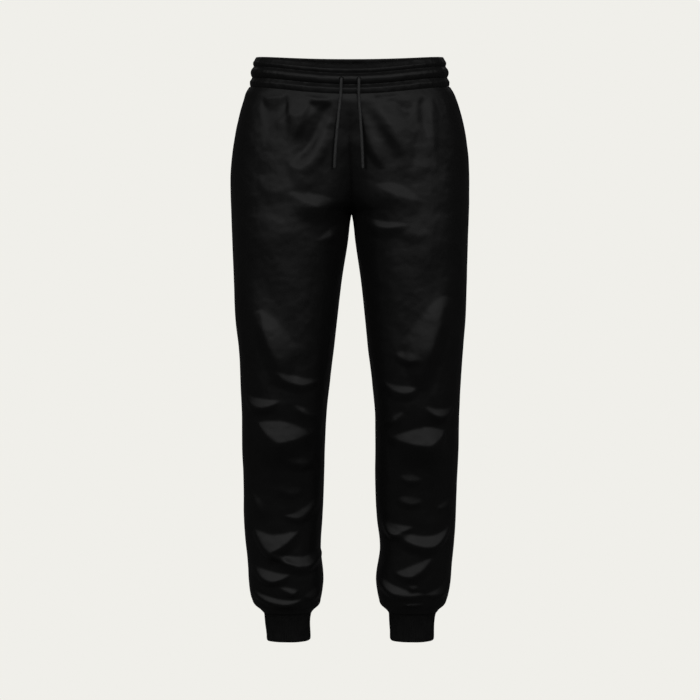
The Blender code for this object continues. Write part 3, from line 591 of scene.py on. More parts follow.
def power(value):
    """Sine or cosine bent towards a squarer section, sign kept."""
    return np.sign(value) * np.abs(value) ** SQUARENESS


def waist_ring(turn, height, proud):
    """Points round the waist: a squared ellipse, widened by proud and tilted as the waist is. turn
    goes round from the wearer's left side by way of the back."""
    half = np.where(np.sin(turn) < 0, FRONT, BACK)
    x = WAIST_SHIFT + (WAIST_HALF_WIDTH + proud) * power(np.cos(turn))
    y = (WAIST_HALF_DEPTH + proud) * power(np.sin(turn))
    z = height + waist_tilt(half, np.arcsin(np.abs(np.sin(turn))))
    return np.stack([x, y, z], -1)


def leg_skin(side, half, drop, share, inset):
    """Points of one leg's front or back, and the directions that face outwards there.

    Each level is a section of two squared quarter ellipses that meet at the crest. share runs from
    0 at the side seam to 1 at the inseam or, above the crotch, at the middle of the body. inset is
    how far inside the cloth's outer face the skin lies. x is measured outwards.
    """
    outer = section_at("left" if side == LEFT else "right", drop) - inset
    gap = curve_through(INSEAMS, "gap", np.maximum(drop, CROTCH_DROP))
    facing_side = "front" if half == FRONT else "back"
    reach = curve_through(FORKS, facing_side, np.minimum(drop, CROTCH_DROP))
    inner = np.maximum(gap - reach + inset, -outer)
    depth = section_at(facing_side, drop) - inset
    crest = curve_through(CRESTS, facing_side, drop)
    last = np.arccos(-np.clip(crest / (crest - inner), 0, 1) ** (1 / SQUARENESS))
    broad = np.radians(curve_through(SPREADS, "turn", drop))
    narrow = broad + (last - broad) * (share - BROAD_SHARE) / (1 - BROAD_SHARE)
    angle = np.where(share < BROAD_SHARE, broad * share / BROAD_SHARE, narrow)
    radius = np.where(np.cos(angle) > 0, outer - crest, crest - inner)
    x = crest + radius * power(np.cos(angle))
    y = section_at("seam", drop) + half * depth * power(np.sin(angle))
    fade = 1 - ease((drop - WAIST_SEAM_DROP) / (CROTCH_DROP - WAIST_SEAM_DROP))
    z = -drop + waist_tilt(half, share * np.pi / 2) * fade
    facing = np.stack([depth * np.cos(angle), half * radius * np.sin(angle), 0 * x], -1)
    facing /= np.linalg.norm(facing, axis=-1, keepdims=True)
    return np.stack([x, y, z], -1), facing


def ramp(value, soft):
    """0 well below 0 and the value itself well above, rounded over soft: half of the value and the
    root of its square and soft's square."""
    return (value + np.sqrt(value**2 + soft**2)) / 2


def fold_heights(folds, x, drop):
    """Height of the folds at x and drop: an even rise from the upper to the lower edge, then an
    eased fall. Both edges are arches through the line's ends: 1 less a power of the distance from
    the apex."""
    total = np.zeros_like(x)
    for fold in folds:
        across, down = fold.x1 - fold.x0, fold.drop1 - fold.drop0
        length = np.hypot(across, down)
        along = ((x - fold.x0) * across + (drop - fold.drop0) * down) / length**2
        below = ((drop - fold.drop0) * across - (x - fold.x0) * down) / length * np.sign(across)
        t = np.clip(along, 0, 1)
        from_apex = np.where(t < fold.apex, 1 - t / fold.apex, (t - fold.apex) / (1 - fold.apex))
        arch = 1 - from_apex**fold.round
        upper = fold.top * arch
        wide = (fold.bottom - fold.top) * arch
        under = below - upper
        rise = ramp(under, fold.soft) - ramp(under - wide, fold.soft)
        total += fold.slope * (rise - wide * ease((under - wide) / fold.fall))
    return total


def softness(x, drop, seed):
    """Slow unevenness of worn cloth, in metres: slanted sine waves of several lengths, each bent by
    a slower one along it and by one across it."""
    dice = np.random.default_rng(seed)
    total = np.zeros_like(x)
    for length in WAVE_LENGTHS:
        turn, phase = dice.uniform(0, np.pi), dice.uniform(0, 2 * np.pi)
        along = x * np.cos(turn) * WAVE_SQUEEZE + drop * np.sin(turn)
        wave = along * 2 * np.pi / length + phase
        bend = (x * np.sin(turn) - drop * np.cos(turn)) * 4 / length + 2 * phase
        strayed = wave + WAVE_SWAY * np.sin(wave * WAVE_SWAY_PACE) + WAVE_BEND * np.sin(bend)
        total += SOFT_WAVES * length * np.sin(strayed)
    return total


def seam_grooves(points, share, depth):
    """How far the cloth is drawn in along the edges of a panel: a bell of the distance from the
    edge."""
    across = np.linalg.norm(np.diff(points, axis=1), axis=-1).sum(axis=1, keepdims=True)
    edge = np.minimum(share, 1 - share) * across
    return -depth * bell(edge / SEAM_WIDTH)


def panel_points(side, half, drops, shares, inset, sizes):
    """Points of one panel at each of the drops and shares: the leg's skin, with creases, slow waves
    and a groove along each seam, all pushed out along the directions the skin faces."""
    drop, share = np.meshgrid(drops, shares, indexing="ij")
    base, _ = leg_skin(side, half, drop, share, 0)
    x, level = base[..., 0], -base[..., 2]
    middle = curve_through(SEAM_CALMS, "share", drop)
    from_seams = ease(share / SIDE_CALM) * ease((1 - share) / middle)
    from_ends = ease((level - WAIST_SEAM_DROP) / END_CALM) * ease((HEM_DROP - level) / END_CALM)
    raised = sizes.folds * fold_heights(PANEL_FOLDS[half, side], x, level) * from_seams
    raised = raised + softness(x, level, WAVE_SEED + 3 * half + side) * from_seams * from_ends
    points, facing = leg_skin(side, half, drop, share, inset)
    pushed = facing * (raised + seam_grooves(points, share, sizes.seam))[..., None]
    above_crotch = 1 - ease((drop - CROTCH_DROP) / CROTCH_CALM)
    pushed[..., 0] *= 1 - above_crotch * bell((1 - share) / MIDDLE_CALM)
    points = points + pushed
    points[..., 2] -= FOLD_DROOP * np.maximum(raised, 0) * from_ends
    if half == FRONT:
        hung = ease((level - HOLLOW_TOP) / HOLLOW_GROWTH) * ease((CROTCH_DROP - level) / HOLLOW_END)
        points[..., 1] += HOLLOW_DEPTH * bell(x / HOLLOW_WIDTH) * hung
    lean = curve_through(MIDDLES, "lean", drop) * share
    points[..., 0] = points[..., 0] * side + lean
    return points


# ---------------------------------------------------------------- meshes


def new_object(name, points, faces, uv, materials):
    """A smooth mesh object that rides on the body. uv is in metres of cloth, one pair a point."""
    mesh = bpy.data.meshes.new(name)
    corners = faces.tolist() if isinstance(faces, np.ndarray) else faces
    mesh.from_pydata(np.asarray(points).reshape(-1, 3).tolist(), [], corners)
    mesh.shade_smooth()
    mesh.set_sharp_from_angle(angle=np.radians(SHARP_ANGLE))
    if uv is not None:
        used = np.zeros(len(mesh.loops), dtype=np.int32)
        mesh.loops.foreach_get("vertex_index", used)
        layer = mesh.uv_layers.new(name="cloth")
        layer.data.foreach_set("uv", np.asarray(uv).reshape(-1, 2)[used].ravel())
    for material in materials:
        mesh.materials.append(material)
    piece = bpy.data.objects.new(name, mesh)
    bpy.context.scene.collection.objects.link(piece)
    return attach(piece, "root")


def grid_faces(rows, columns, start=0):
    """Quads between the points of a grid whose rows and columns don't close."""
    r, c = np.meshgrid(np.arange(rows - 1), np.arange(columns - 1), indexing="ij")
    corner = start + r * columns + c
    return np.stack([corner, corner + 1, corner + columns + 1, corner + columns], -1).reshape(-1, 4)


def ring_faces(rows, columns):
    """Quads between the points of a grid whose rows and columns both close."""
    r, c = np.meshgrid(np.arange(rows), np.arange(columns), indexing="ij")
    below, beside = (r + 1) % rows, (c + 1) % columns
    corners = [r * columns + c, r * columns + beside, below * columns + beside, below * columns + c]
    return np.stack(corners, -1).reshape(-1, 4)


def lengths_along(points, axis):
    """Running length along one axis of a grid of points, starting from 0."""
    steps = np.linalg.norm(np.diff(points, axis=axis), axis=-1)
    start = np.zeros_like(np.take(steps, [0], axis=axis))
    return np.concatenate([start, np.cumsum(steps, axis=axis)], axis=axis)


def mesh_area(piece):
    """Half the surface of a closed wall, which is the area of its cloth, in square metres."""
    areas = np.zeros(len(piece.data.polygons))
    piece.data.polygons.foreach_get("area", areas)
    return float(areas.sum() / 2)


def crowded(count):
    """Shares from 0 to 1 in count steps, closer at both ends: t less a share of a full sine
    wave."""
    t = np.linspace(0, 1, count + 1)
    return t - EDGE_CROWDING * np.sin(2 * np.pi * t) / (2 * np.pi)


def border(rows, columns):
    """Numbers of the points round the edge of a grid, in order."""
    index = np.arange(rows * columns).reshape(rows, columns)
    return np.concatenate([index[0, :-1], index[:-1, -1], index[-1, :0:-1], index[:0:-1, 0]])


def make_panel(side, half, materials, sizes):
    """One panel of a leg: a fine outer and a coarser inner grid, joined by a strip along their
    edges."""
    node = f"{HALF_NAMES[half]}_{SIDE_NAMES[side]}"
    drops = np.linspace(WAIST_SEAM_DROP, HEM_DROP, 2 * PANEL_ROWS + 1)
    shares = crowded(2 * PANEL_COLUMNS)
    outer = panel_points(side, half, drops, shares, 0, sizes)
    inner = panel_points(side, half, drops[::2], shares[::2], CLOTH, sizes)
    count = outer.shape[0] * outer.shape[1]
    rim, hem = border(*outer.shape[:2]), border(*inner.shape[:2]) + count
    strip = np.stack([rim[::2], hem, np.roll(hem, -1), np.roll(rim, -2)[::2], rim[1::2]], -1)
    faces = [grid_faces(*outer.shape[:2]), grid_faces(*inner.shape[:2], count)[:, ::-1], strip]
    if side * half > 0:
        faces = [each[:, ::-1] for each in faces]
    width, length = lengths_along(outer, 1), lengths_along(outer, 0)
    uv = np.stack([width - width[:, -1:] / 2, -length], -1)
    piece = new_object(
        f"{node}_cloth",
        np.concatenate([outer.reshape(-1, 3), inner.reshape(-1, 3)]),
        sum((each.tolist() for each in faces), []),
        np.concatenate([uv.reshape(-1, 2), uv[::2, ::2].reshape(-1, 2)]),
        materials,
    )
    insides = np.repeat([0, 1, 0], [len(each) for each in faces])
    piece.data.polygons.foreach_set("material_index", insides.astype(np.int32))
    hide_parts(node)
    return piece, float(width[:, -1].max()), float(length[-1].max())


def profile_points(table, names, fineness):
    """Finely spaced values of a profile's columns, along a smooth curve through its rows."""
    columns = ("step", *table[0]._fields)
    rows = named_rows(columns, *((i, *row) for i, row in enumerate(table)))
    steps = np.linspace(0, len(table) - 1, (len(table) - 1) * fineness + 1)
    return [curve_through(rows, name, steps)[:, None] for name in names]


def band_gathers(turn, height):
    """Height of the waistband's gathers, 1 at most: the sum of the table's cosines round the
    waist."""
    total = 0
    for row in GATHERS:
        sway = row.sway * np.sin(row.swings * turn + row.offset)
        wave = row.count * turn + row.start + row.slant * height + sway
        total = total + row.share * np.cos(wave)
    return total


def make_waistband(material, pucker):
    """A ring with three channels: a profile carried round the waist, puckered between the
    stitching."""
    turn = np.arange(BAND_COLUMNS) * 2 * np.pi / BAND_COLUMNS
    height, proud, loose = profile_points(BAND_PROFILE, ("height", "proud", "loose"), BAND_STEPS)
    points = waist_ring(turn, height, proud + pucker * loose * band_gathers(turn, height))
    for route in CORD_ROUTES.values():
        away = np.hypot(points[..., 0] - route[0][0], points[..., 2] - route[0][2])
        dent = BUTTONHOLE_DENT * bell(away / BUTTONHOLE_RADIUS) * (points[..., 1] < route[0][1])
        points[..., 1] += dent
    around, down = lengths_along(points, 1), lengths_along(points, 0)
    uv = np.stack([around, -down], -1)
    piece = new_object("waistband_cloth", points, ring_faces(*points.shape[:2]), uv, [material])
    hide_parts("waistband")
    return piece, float(around[:, -1].max()), float(down[-1].max() / 2)


def make_cuff(side, material, rib_height):
    """A tube of double rib knit, folded at its lower end: a profile carried round the ankle, with
    upright ribs that are the root of a cosine, so that they are round with narrow furrows."""
    node = f"cuff_{SIDE_NAMES[side]}"
    count = CUFF_RIBS * COLUMNS_PER_RIB
    turn = np.arange(count) * 2 * np.pi / count
    names = ("drop", "outer", "inner", "seam", "front", "back", "in_by")
    columns = profile_points(CUFF_PROFILE[::-1], names, CUFF_STEPS)
    drop, outer, inner, seam, front, back, in_by = columns
    rib = np.sqrt(np.abs(np.cos(CUFF_RIBS * turn / 2)))
    shown = 1 - ease(in_by / RIB_WRAP)
    raised = rib_height * (rib - RIB_MIDDLE) * shown * ease((drop - HEM_DROP) / RIB_START)
    slack = sum(
        row.height * np.sin(row.count * turn + row.slant * drop + row.start) for row in CUFF_SLACK
    )
    raised = raised + slack * ease((drop - HEM_DROP) / SLACK_START)
    middle, radius = (outer + inner) / 2, (outer - inner) / 2
    depth = np.where(np.sin(turn) < 0, front, back)
    x = side * middle + (radius - in_by + raised) * power(np.cos(turn))
    y = seam + (depth - in_by + raised) * power(np.sin(turn))
    points = np.stack(np.broadcast_arrays(x, y, -drop), -1)
    around, down = lengths_along(points, 1), lengths_along(points, 0)
    uv = np.stack([around, -down], -1)
    piece = new_object(f"{node}_rib", points, ring_faces(*points.shape[:2]), uv, [material])
    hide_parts(node)
    return piece, float(around[:, -1].max()), float(down[-1].max() / 2)


def cord_path(route):
    """The cord's centreline: evenly spaced points on a smooth curve through the route's own
    points."""
    table = named_rows("step x y z", *((i, *place) for i, place in enumerate(route)))
    steps = np.linspace(0, len(route) - 1, FINE_STEPS)
    fine = np.stack([curve_through(table, axis, steps) for axis in ("x", "y", "z")], -1)
    run = lengths_along(fine, 0)
    even = np.linspace(0, run[-1], CORD_RINGS)
    return np.stack([np.interp(even, run, fine[:, axis]) for axis in range(3)], -1), even


def make_cord(name, route, material, braid):
    """A braided cord: a round tube along its path, raised where two sets of strands that wind
    opposite ways come to the top, and rounded off at both cut ends."""
    path, run = cord_path(route)
    length = run[-1]
    ahead = np.gradient(path, axis=0)
    ahead /= np.linalg.norm(ahead, axis=1, keepdims=True)
    across = np.cross(ahead, [0.0, 1.0, 0.02])  # an axis that no part of the cord runs along
    across /= np.linalg.norm(across, axis=1, keepdims=True)
    beside = np.cross(ahead, across)
    turn = np.arange(CORD_AROUND) * 2 * np.pi / CORD_AROUND
    wind = run[:, None] * 2 * np.pi / BRAID_PITCH
    one = np.cos(BRAID_STRANDS / 2 * turn + wind)
    other = np.cos(BRAID_STRANDS / 2 * turn - wind)
    end = np.minimum(run, length - run)[:, None] / CORD_END
    rounding = np.sqrt(np.clip(1 - (1 - np.clip(end, CORD_TIP, 1)) ** 2, 0, 1))
    radius = (CORD_DIAMETER / 2 + braid * np.maximum(one, other)) * rounding
    offset = across[:, None] * np.cos(turn)[:, None] + beside[:, None] * np.sin(turn)[:, None]
    rings = path[:, None] + offset * radius[..., None]
    count = CORD_RINGS * CORD_AROUND
    points = np.concatenate([rings.reshape(-1, 3), path[:1], path[-1:]])
    faces = ring_faces(CORD_RINGS, CORD_AROUND)[:-CORD_AROUND]
    here = np.arange(CORD_AROUND)
    there = np.roll(here, -1)
    last = count - CORD_AROUND
    start_cap = np.stack([np.full(CORD_AROUND, count), there, here], -1)
    end_cap = np.stack([np.full(CORD_AROUND, count + 1), last + here, last + there], -1)
    round_it = turn / (2 * np.pi) * CORD_GIRTH
    uv = np.stack(np.broadcast_arrays(round_it, run[:, None]), -1).reshape(-1, 2)
    uv = np.concatenate([uv, [[0, 0], [0, length]]])
    faces = faces.tolist() + start_cap.tolist() + end_cap.tolist()
    piece = new_object(f"{name}_braid", points, faces, uv, [material])
    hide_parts(name)
    return piece, path, length


def tubes(lines, radius, around):
    """Points and faces of many short closed tubes of one radius: lines holds each one's centreline.

    The tubes stand square to their lines and are drawn in to a third at both ends.
    """
    count, rings = lines.shape[:2]
    ahead = np.gradient(lines, axis=1)
    ahead /= np.linalg.norm(ahead, axis=-1, keepdims=True)
    outwards = lines.copy()
    outwards[..., 2] = 0
    across = np.cross(ahead, outwards)
    across /= np.linalg.norm(across, axis=-1, keepdims=True)
    beside = np.cross(ahead, across)
    turn = np.arange(around) * 2 * np.pi / around
    size = np.full(rings, radius)
    size[[0, -1]] /= 3
    offset = across[:, :, None] * np.cos(turn)[:, None] + beside[:, :, None] * np.sin(turn)[:, None]
    points = lines[:, :, None] + offset * size[:, None, None]
    walls = ring_faces(rings, around)[:-around]
    starts = np.arange(count)[:, None, None] * rings * around
    first, last = np.arange(around)[::-1], np.arange(around) + (rings - 1) * around
    faces = (walls[None] + starts).reshape(-1, 4).tolist()
    faces += (first[None] + starts[:, 0]).tolist() + (last[None] + starts[:, 0]).tolist()
    return points.reshape(-1, 3), faces


def band_place(x, z, out_by):
    """Points on the outer face of the waistband's front, at x and z and out_by in front of it."""
    cosine = np.clip(np.abs(x - WAIST_SHIFT) / WAIST_HALF_WIDTH, 0, 1) ** (1 / SQUARENESS)
    height = z - waist_tilt(FRONT, np.arccos(cosine))
    outside = BAND_PROFILE[:RIM_ROW]
    proud = np.interp(height, column(outside, "height"), column(outside, "proud"))
    y = -(WAIST_HALF_DEPTH + proud) * np.sqrt(1 - cosine**2) ** SQUARENESS - out_by
    return np.stack([x, y, z], -1)


def band_row(row, face, stitch):
    """Centrelines of the stitches in one row round the waistband, each bowed away from the cloth.

    face is 1 outside and -1 inside.
    """
    turn = np.linspace(0, 2 * np.pi, 2 * FINE_STEPS)
    ring = waist_ring(turn, row.height, row.proud + face * THREAD / 4)
    run = lengths_along(ring, 0)
    count = int(run[-1] / (stitch + STITCH_GAP))
    starts = np.arange(count) * run[-1] / count
    bow = THREAD * np.array(STITCH_BOW) * face
    at = starts[:, None] + np.linspace(0, stitch, len(bow))
    line = np.stack([np.interp(at, run, ring[:, axis]) for axis in range(3)], -1)
    outwards = line * [1, 1, 0]
    outwards /= np.linalg.norm(outwards, axis=-1, keepdims=True)
    return line + outwards * bow[:, None]


def buttonhole_stitches(route):
    """Centrelines of the close radial stitches round one buttonhole, an upright oval."""
    middle = route[0]
    turn = (np.arange(BUTTONHOLE_STITCHES) * 2 * np.pi / BUTTONHOLE_STITCHES)[:, None]
    reach = np.linspace(0.0, BUTTONHOLE_EDGE, len(HOLE_STITCH_BOW))
    x = middle[0] + (BUTTONHOLE_RADIUS + reach) * np.cos(turn)
    z = middle[2] + (BUTTONHOLE_RADIUS * BUTTONHOLE_TALL + reach) * np.sin(turn)
    return band_place(x, z, THREAD * np.array(HOLE_STITCH_BOW))


def make_stitches(name, groups, material):
    """Many short tubes of thread in one mesh. groups holds arrays of stitches' centrelines."""
    points, faces, total = [], [], 0
    for lines in groups:
        some, these = tubes(lines, THREAD / 2, THREAD_SIDES)
        points.append(some)
        faces += [[corner + total for corner in face] for face in these]
        total += len(some)
    piece = new_object(name, np.concatenate(points), faces, None, [material])
    return piece


# ---------------------------------------------------------------- materials


def linear(code):
    """A linear colour from an sRGB hex code such as 1a1a1a."""
    channels = [int(code[i:i + 2], 16) / 255 for i in (0, 2, 4)]
    return tuple(c / 12.92 if c <= 0.04045 else ((c + 0.055) / 1.055) ** 2.4 for c in channels)


def add_node(tree, kind, links=(), **settings):
    """Adds a node. settings set its inputs, or its properties where it has no such input, and links
    join an input by name or number to another node's output."""
    node = tree.nodes.new(kind)
    for name, value in settings.items():
        label = name.replace("_", " ")
        match = next((s for s in node.inputs if s.name.lower() == label.lower()), None)
        if match is None:
            setattr(node, name, value)
        else:
            match.default_value = value
    for socket, output in dict(links).items():
        tree.links.new(output, node.inputs[socket])
    return node


def new_material(name, colour, **settings):
    """A material with its shader; settings set the shader's own sockets."""
    material = bpy.data.materials.new(name)
    material.use_nodes = True
    tree = material.node_tree
    tree.nodes.clear()
    shader = add_node(tree, "ShaderNodeBsdfPrincipled", Base_Color=(*colour, 1), **settings)
    add_node(tree, "ShaderNodeOutputMaterial", {"Surface": shader.outputs[0]})
    return material, tree, shader


def made_once(make):
    """The same maker of a material, which gives back the one of its own name where there is one."""

    @functools.wraps(make)
    def kept(colours):
        return bpy.data.materials.get(make.__name__) or make(make.__name__, colours)

    return kept


def knit_bump(tree, shader, wale, course, strength, depth, under=None):
    """Bump of a knit: columns of loops (wales) times rows of loops (courses), on the cloth's own UV
    in metres, plus a noise of fibres. under is the normal of a coarser bump below it."""
    links = {"Vector": add_node(tree, "ShaderNodeUVMap").outputs[0]}
    bands = [
        add_node(
            tree,
            "ShaderNodeTexWave",
            links,
            bands_direction=direction,
            Scale=WAVE_REPEAT / spacing,
            Distortion=1.5,
        )
        for direction, spacing in (("X", wale), ("Y", course))
    ]
    fibres = add_node(tree, "ShaderNodeTexNoise", links, Scale=1 / CLOTH_FIBRE, Detail=2)
    sources = {i: node.outputs["Fac"] for i, node in enumerate([*bands, fibres])}
    total = add_node(tree, "ShaderNodeMath", sources, operation="MULTIPLY_ADD")
    links = {"Height": total.outputs[0]}
    if under is not None:
        links["Normal"] = under
    bump = add_node(tree, "ShaderNodeBump", links, Strength=strength, Distance=depth)
    tree.links.new(bump.outputs[0], shader.inputs["Normal"])


def uneven(tree, size, low, high, detail=3):
    """A soft noise through the object, in blotches of the given size, spread from low to high."""
    place = add_node(tree, "ShaderNodeTexCoord").outputs["Object"]
    noise = add_node(tree, "ShaderNodeTexNoise", {"Vector": place}, Scale=1 / size, Detail=detail)
    settings = {**SOFT_STEP, **NOISE_SPREAD, "To_Min": low, "To_Max": high}
    links = {"Value": noise.outputs["Fac"]}
    return add_node(tree, "ShaderNodeMapRange", links, **settings).outputs[0]


def uneven_dye(tree, shader, colour, size, least):
    """Multiplies a material's colour by blotches of dye between least and full strength."""
    strength = {"Scale": uneven(tree, size, low=least, high=1.0)}
    scaled = add_node(tree, "ShaderNodeVectorMath", strength, operation="SCALE")
    scaled.inputs[0].default_value = colour
    tree.links.new(scaled.outputs[0], shader.inputs["Base Color"])


@made_once
def sheared_cotton_fleece(name, colours):
    """Black cotton fleece: knitted fine, dyed, sheared and pressed, so that its face is smooth and
    takes a soft satin light on every slope that faces up. Washing and wear leave it faintly uneven
    in tone, gloss and level, which breaks up the light."""
    material, tree, shader = new_material(
        name,
        colours.fleece,
        roughness=0.30,
        specular_ior_level=0.30,
        sheen_weight=0.04,
        sheen_roughness=0.5,
    )
    uneven_dye(tree, shader, colours.fleece, size=0.035, least=0.86)
    gloss = uneven(tree, size=0.025, low=0.28, high=0.33)
    tree.links.new(gloss, shader.inputs["Roughness"])
    level = {"Height": uneven(tree, WEAR_SIZE, low=0.0, high=1.0, detail=1)}
    worn = add_node(tree, "ShaderNodeBump", level, Strength=1.0, Distance=WEAR_DEPTH).outputs[0]
    knit_bump(tree, shader, FLEECE_WALE, FLEECE_COURSE, strength=0.12, depth=0.0001, under=worn)
    return material


@made_once
def brushed_fleece_back(name, colours):
    """The brushed back of the fleece: loops torn into a short pile, in tufts, so quite matt."""
    material, tree, shader = new_material(
        name,
        colours.brushed,
        roughness=0.95,
        specular_ior_level=0.1,
        sheen_weight=0.3,
        sheen_roughness=0.6,
    )
    uneven_dye(tree, shader, colours.brushed, size=0.006, least=0.7)
    knit_bump(tree, shader, wale=0.0022, course=0.0018, strength=0.5, depth=0.0004)
    return material


@made_once
def cotton_rib_knit(name, colours):
    """Cotton rib: the ribs are in the mesh, and the yarn's own loops make it duller than the fleece
    and a little uneven in tone."""
    material, tree, shader = new_material(
        name,
        colours.rib,
        roughness=0.6,
        specular_ior_level=0.15,
        sheen_weight=0.03,
        sheen_roughness=0.5,
    )
    uneven_dye(tree, shader, colours.rib, size=0.012, least=0.8)
    knit_bump(tree, shader, wale=0.0011, course=0.0009, strength=0.3, depth=0.0002)
    return material


@made_once
def braided_cotton_cord(name, colours):
    """Round braided cotton cord: the strands are in the mesh, fine fibres soften them, and the yarn
    took the dye less deeply than the fleece."""
    material, tree, shader = new_material(
        name,
        colours.cord,
        roughness=0.55,
        specular_ior_level=0.35,
        sheen_weight=0.1,
        sheen_roughness=0.4,
    )
    uneven_dye(tree, shader, colours.cord, size=0.004, least=0.75)
    knit_bump(tree, shader, wale=0.0006, course=0.0005, strength=0.25, depth=0.0001)
    return material


@made_once
def spun_polyester_thread(name, colours):
    """Spun polyester sewing thread: black, with a slight gloss, its fibres seen as a fine bump."""
    material, tree, shader = new_material(
        name, colours.thread, roughness=0.45, specular_ior_level=0.35
    )
    place = {"Vector": add_node(tree, "ShaderNodeTexCoord").outputs["Object"]}
    fibres = add_node(tree, "ShaderNodeTexNoise", place, Scale=1 / THREAD_FIBRE)
    height = {"Height": fibres.outputs["Fac"]}
    bump = add_node(tree, "ShaderNodeBump", height, Strength=0.3, Distance=0.0001)
    tree.links.new(bump.outputs[0], shader.inputs["Normal"])
    return material


# ---------------------------------------------------------------- stage

CAMERA_AWAY = 3.5
VIEW_LEVEL = -0.4865
VIEW_WIDTH = 1.225
FLOOR_LEVEL = -1.10
FLOOR_HALF = 20.0
SENSOR = 36  # millimetres


def make_camera():
    """A level camera in front of the middle of the garment."""
    data = bpy.data.cameras.new("camera")
    data.sensor_width = SENSOR
    data.lens = SENSOR * CAMERA_AWAY / VIEW_WIDTH
    camera = bpy.data.objects.new("camera", data)
    camera.location = (0, -CAMERA_AWAY, VIEW_LEVEL)
    camera.rotation_euler = (np.pi / 2, 0, 0)
    bpy.context.scene.collection.objects.link(camera)
    bpy.context.scene.camera = camera


def make_floor(paper):
    """A pale floor that glows evenly, so it reads as bare paper and throws no light or shade."""
    material = bpy.data.materials.new("pale_paper")
    material.use_nodes = True
    tree = material.node_tree
    tree.nodes.clear()
    glow = add_node(tree, "ShaderNodeEmission", Color=(*paper, 1), Strength=1.0)
    add_node(tree, "ShaderNodeOutputMaterial", {"Surface": glow.outputs[0]})
    mesh = bpy.data.meshes.new("floor")
    signs = ((-1, -1), (1, -1), (1, 1), (-1, 1))
    corners = [(x * FLOOR_HALF, y * FLOOR_HALF, FLOOR_LEVEL) for x, y in signs]
    mesh.from_pydata(corners, [], [(0, 1, 2, 3)])
    mesh.materials.append(material)
    floor = bpy.data.objects.new("floor", mesh)
    bpy.context.scene.collection.objects.link(floor)
    for ray in ("diffuse", "glossy", "transmission", "shadow"):
        setattr(floor, f"visible_{ray}", False)


def make_surround(paper):
    """Soft studio light as a function of direction: a key high in front and one high behind, dimmer
    fields below the front one, and near darkness elsewhere. The camera sees paper."""
    world = bpy.data.worlds.new("studio")
    bpy.context.scene.world = world
    world.use_nodes = True
    tree = world.node_tree
    tree.nodes.clear()
    direction = add_node(tree, "ShaderNodeTexCoord").outputs["Generated"]
    parts = add_node(tree, "ShaderNodeSeparateXYZ", {0: direction})
    total = None
    for steps in LIGHT_FIELDS.values():
        field = None
        for step in steps:
            links = {"Value": parts.outputs[step.axis]}
            settings = {**SOFT_STEP, **step._asdict()}
            del settings["axis"]
            factor = add_node(tree, "ShaderNodeMapRange", links, **settings).outputs[0]
            if field is not None:
                links = {0: field, 1: factor}
                factor = add_node(tree, "ShaderNodeMath", links, operation="MULTIPLY").outputs[0]
            field = factor
        if total is not None:
            links = {0: total, 1: field}
            field = add_node(tree, "ShaderNodeMath", links, operation="ADD").outputs[0]
        total = field
    glow = add_node(tree, "ShaderNodeBackground", {"Strength": total}, Color=(1, 1, 1, 1))
    seen = add_node(tree, "ShaderNodeBackground", Color=(*paper, 1), Strength=1.0)
    rays = add_node(tree, "ShaderNodeLightPath")
    links = {0: rays.outputs["Is Camera Ray"], 1: glow.outputs[0], 2: seen.outputs[0]}
    mix = add_node(tree, "ShaderNodeMixShader", links)
    add_node(tree, "ShaderNodeOutputWorld", {"Surface": mix.outputs[0]})
    bpy.context.scene.view_settings.view_transform = "Standard"


# ---------------------------------------------------------------- add-on


def colour_property(name, description, code):
    """A colour that a user may change, given as an sRGB hex code."""
    return bpy.props.FloatVectorProperty(
        name=name, description=description, subtype="COLOR", default=linear(code), min=0, max=1
    )


def size_property(name, description, default, most):
    """A length in metres that a user may change."""
    return bpy.props.FloatProperty(
        name=name,
        description=description,
        default=default,
        min=0,
        max=most,
        precision=5,
        unit="LENGTH",
    )


class JoggersColours(bpy.types.PropertyGroup):
    """Colours of the cloth, the cord, the thread and the paper behind them."""

    fleece: colour_property("Fleece", "Colour of the fleece's smooth face", "1d1d1d")
    brushed: colour_property("Brushed inside", "Colour of the fleece's brushed back", "191919")
    rib: colour_property("Rib", "Colour of the rib knit cuffs", "202020")
    cord: colour_property("Cord", "Colour of the braided drawcord", "505050")
    thread: colour_property("Thread", "Colour of the sewing thread", "1c1c1c")
    paper: colour_property("Paper", "Colour of the floor and the surround", "f0efea")


class JoggersSizes(bpy.types.PropertyGroup):
    """Sizes of the folds, gathers, seams, ribs, braid and stitches."""

    folds: bpy.props.FloatProperty(
        name="Folds", description="Height of the folds, 1 as worn", default=1, min=0, max=1.2
    )
    seam: size_property("Seam depth", "How far a seam draws the cloth in", 0.0007, 0.002)
    pucker: size_property("Gathers", "Height of the waistband's gathers", 0.0003, 0.001)
    rib: size_property("Rib height", "How far the cuffs' ribs stand out", 0.0007, 0.0012)
    braid: size_property("Braid height", "How far the cord's strands stand out", 0.00016, 0.0004)
    stitch: size_property("Stitch length", "Length of one stitch on the waistband", 0.0028, 0.006)


class JOGGERS_OT_stage(bpy.types.Operator):
    """Add the camera, a pale floor and soft light from high in front"""

    bl_idname = "joggers.stage"
    bl_label = "Stage"

    def execute(self, context):
        paper = tuple(context.scene.joggers_colours.paper)
        make_camera()
        make_floor(paper)
        make_surround(paper)
        return {"FINISHED"}


class JOGGERS_OT_drawcord(bpy.types.Operator):
    """Add the two free ends of the braided drawcord"""

    bl_idname = "joggers.drawcord"
    bl_label = "Drawcord"

    def execute(self, context):
        material = braided_cotton_cord(context.scene.joggers_colours)
        braid = context.scene.joggers_sizes.braid
        for name, route in CORD_ROUTES.items():
            piece, path, length = make_cord(name, route, material, braid)
        return {"FINISHED"}


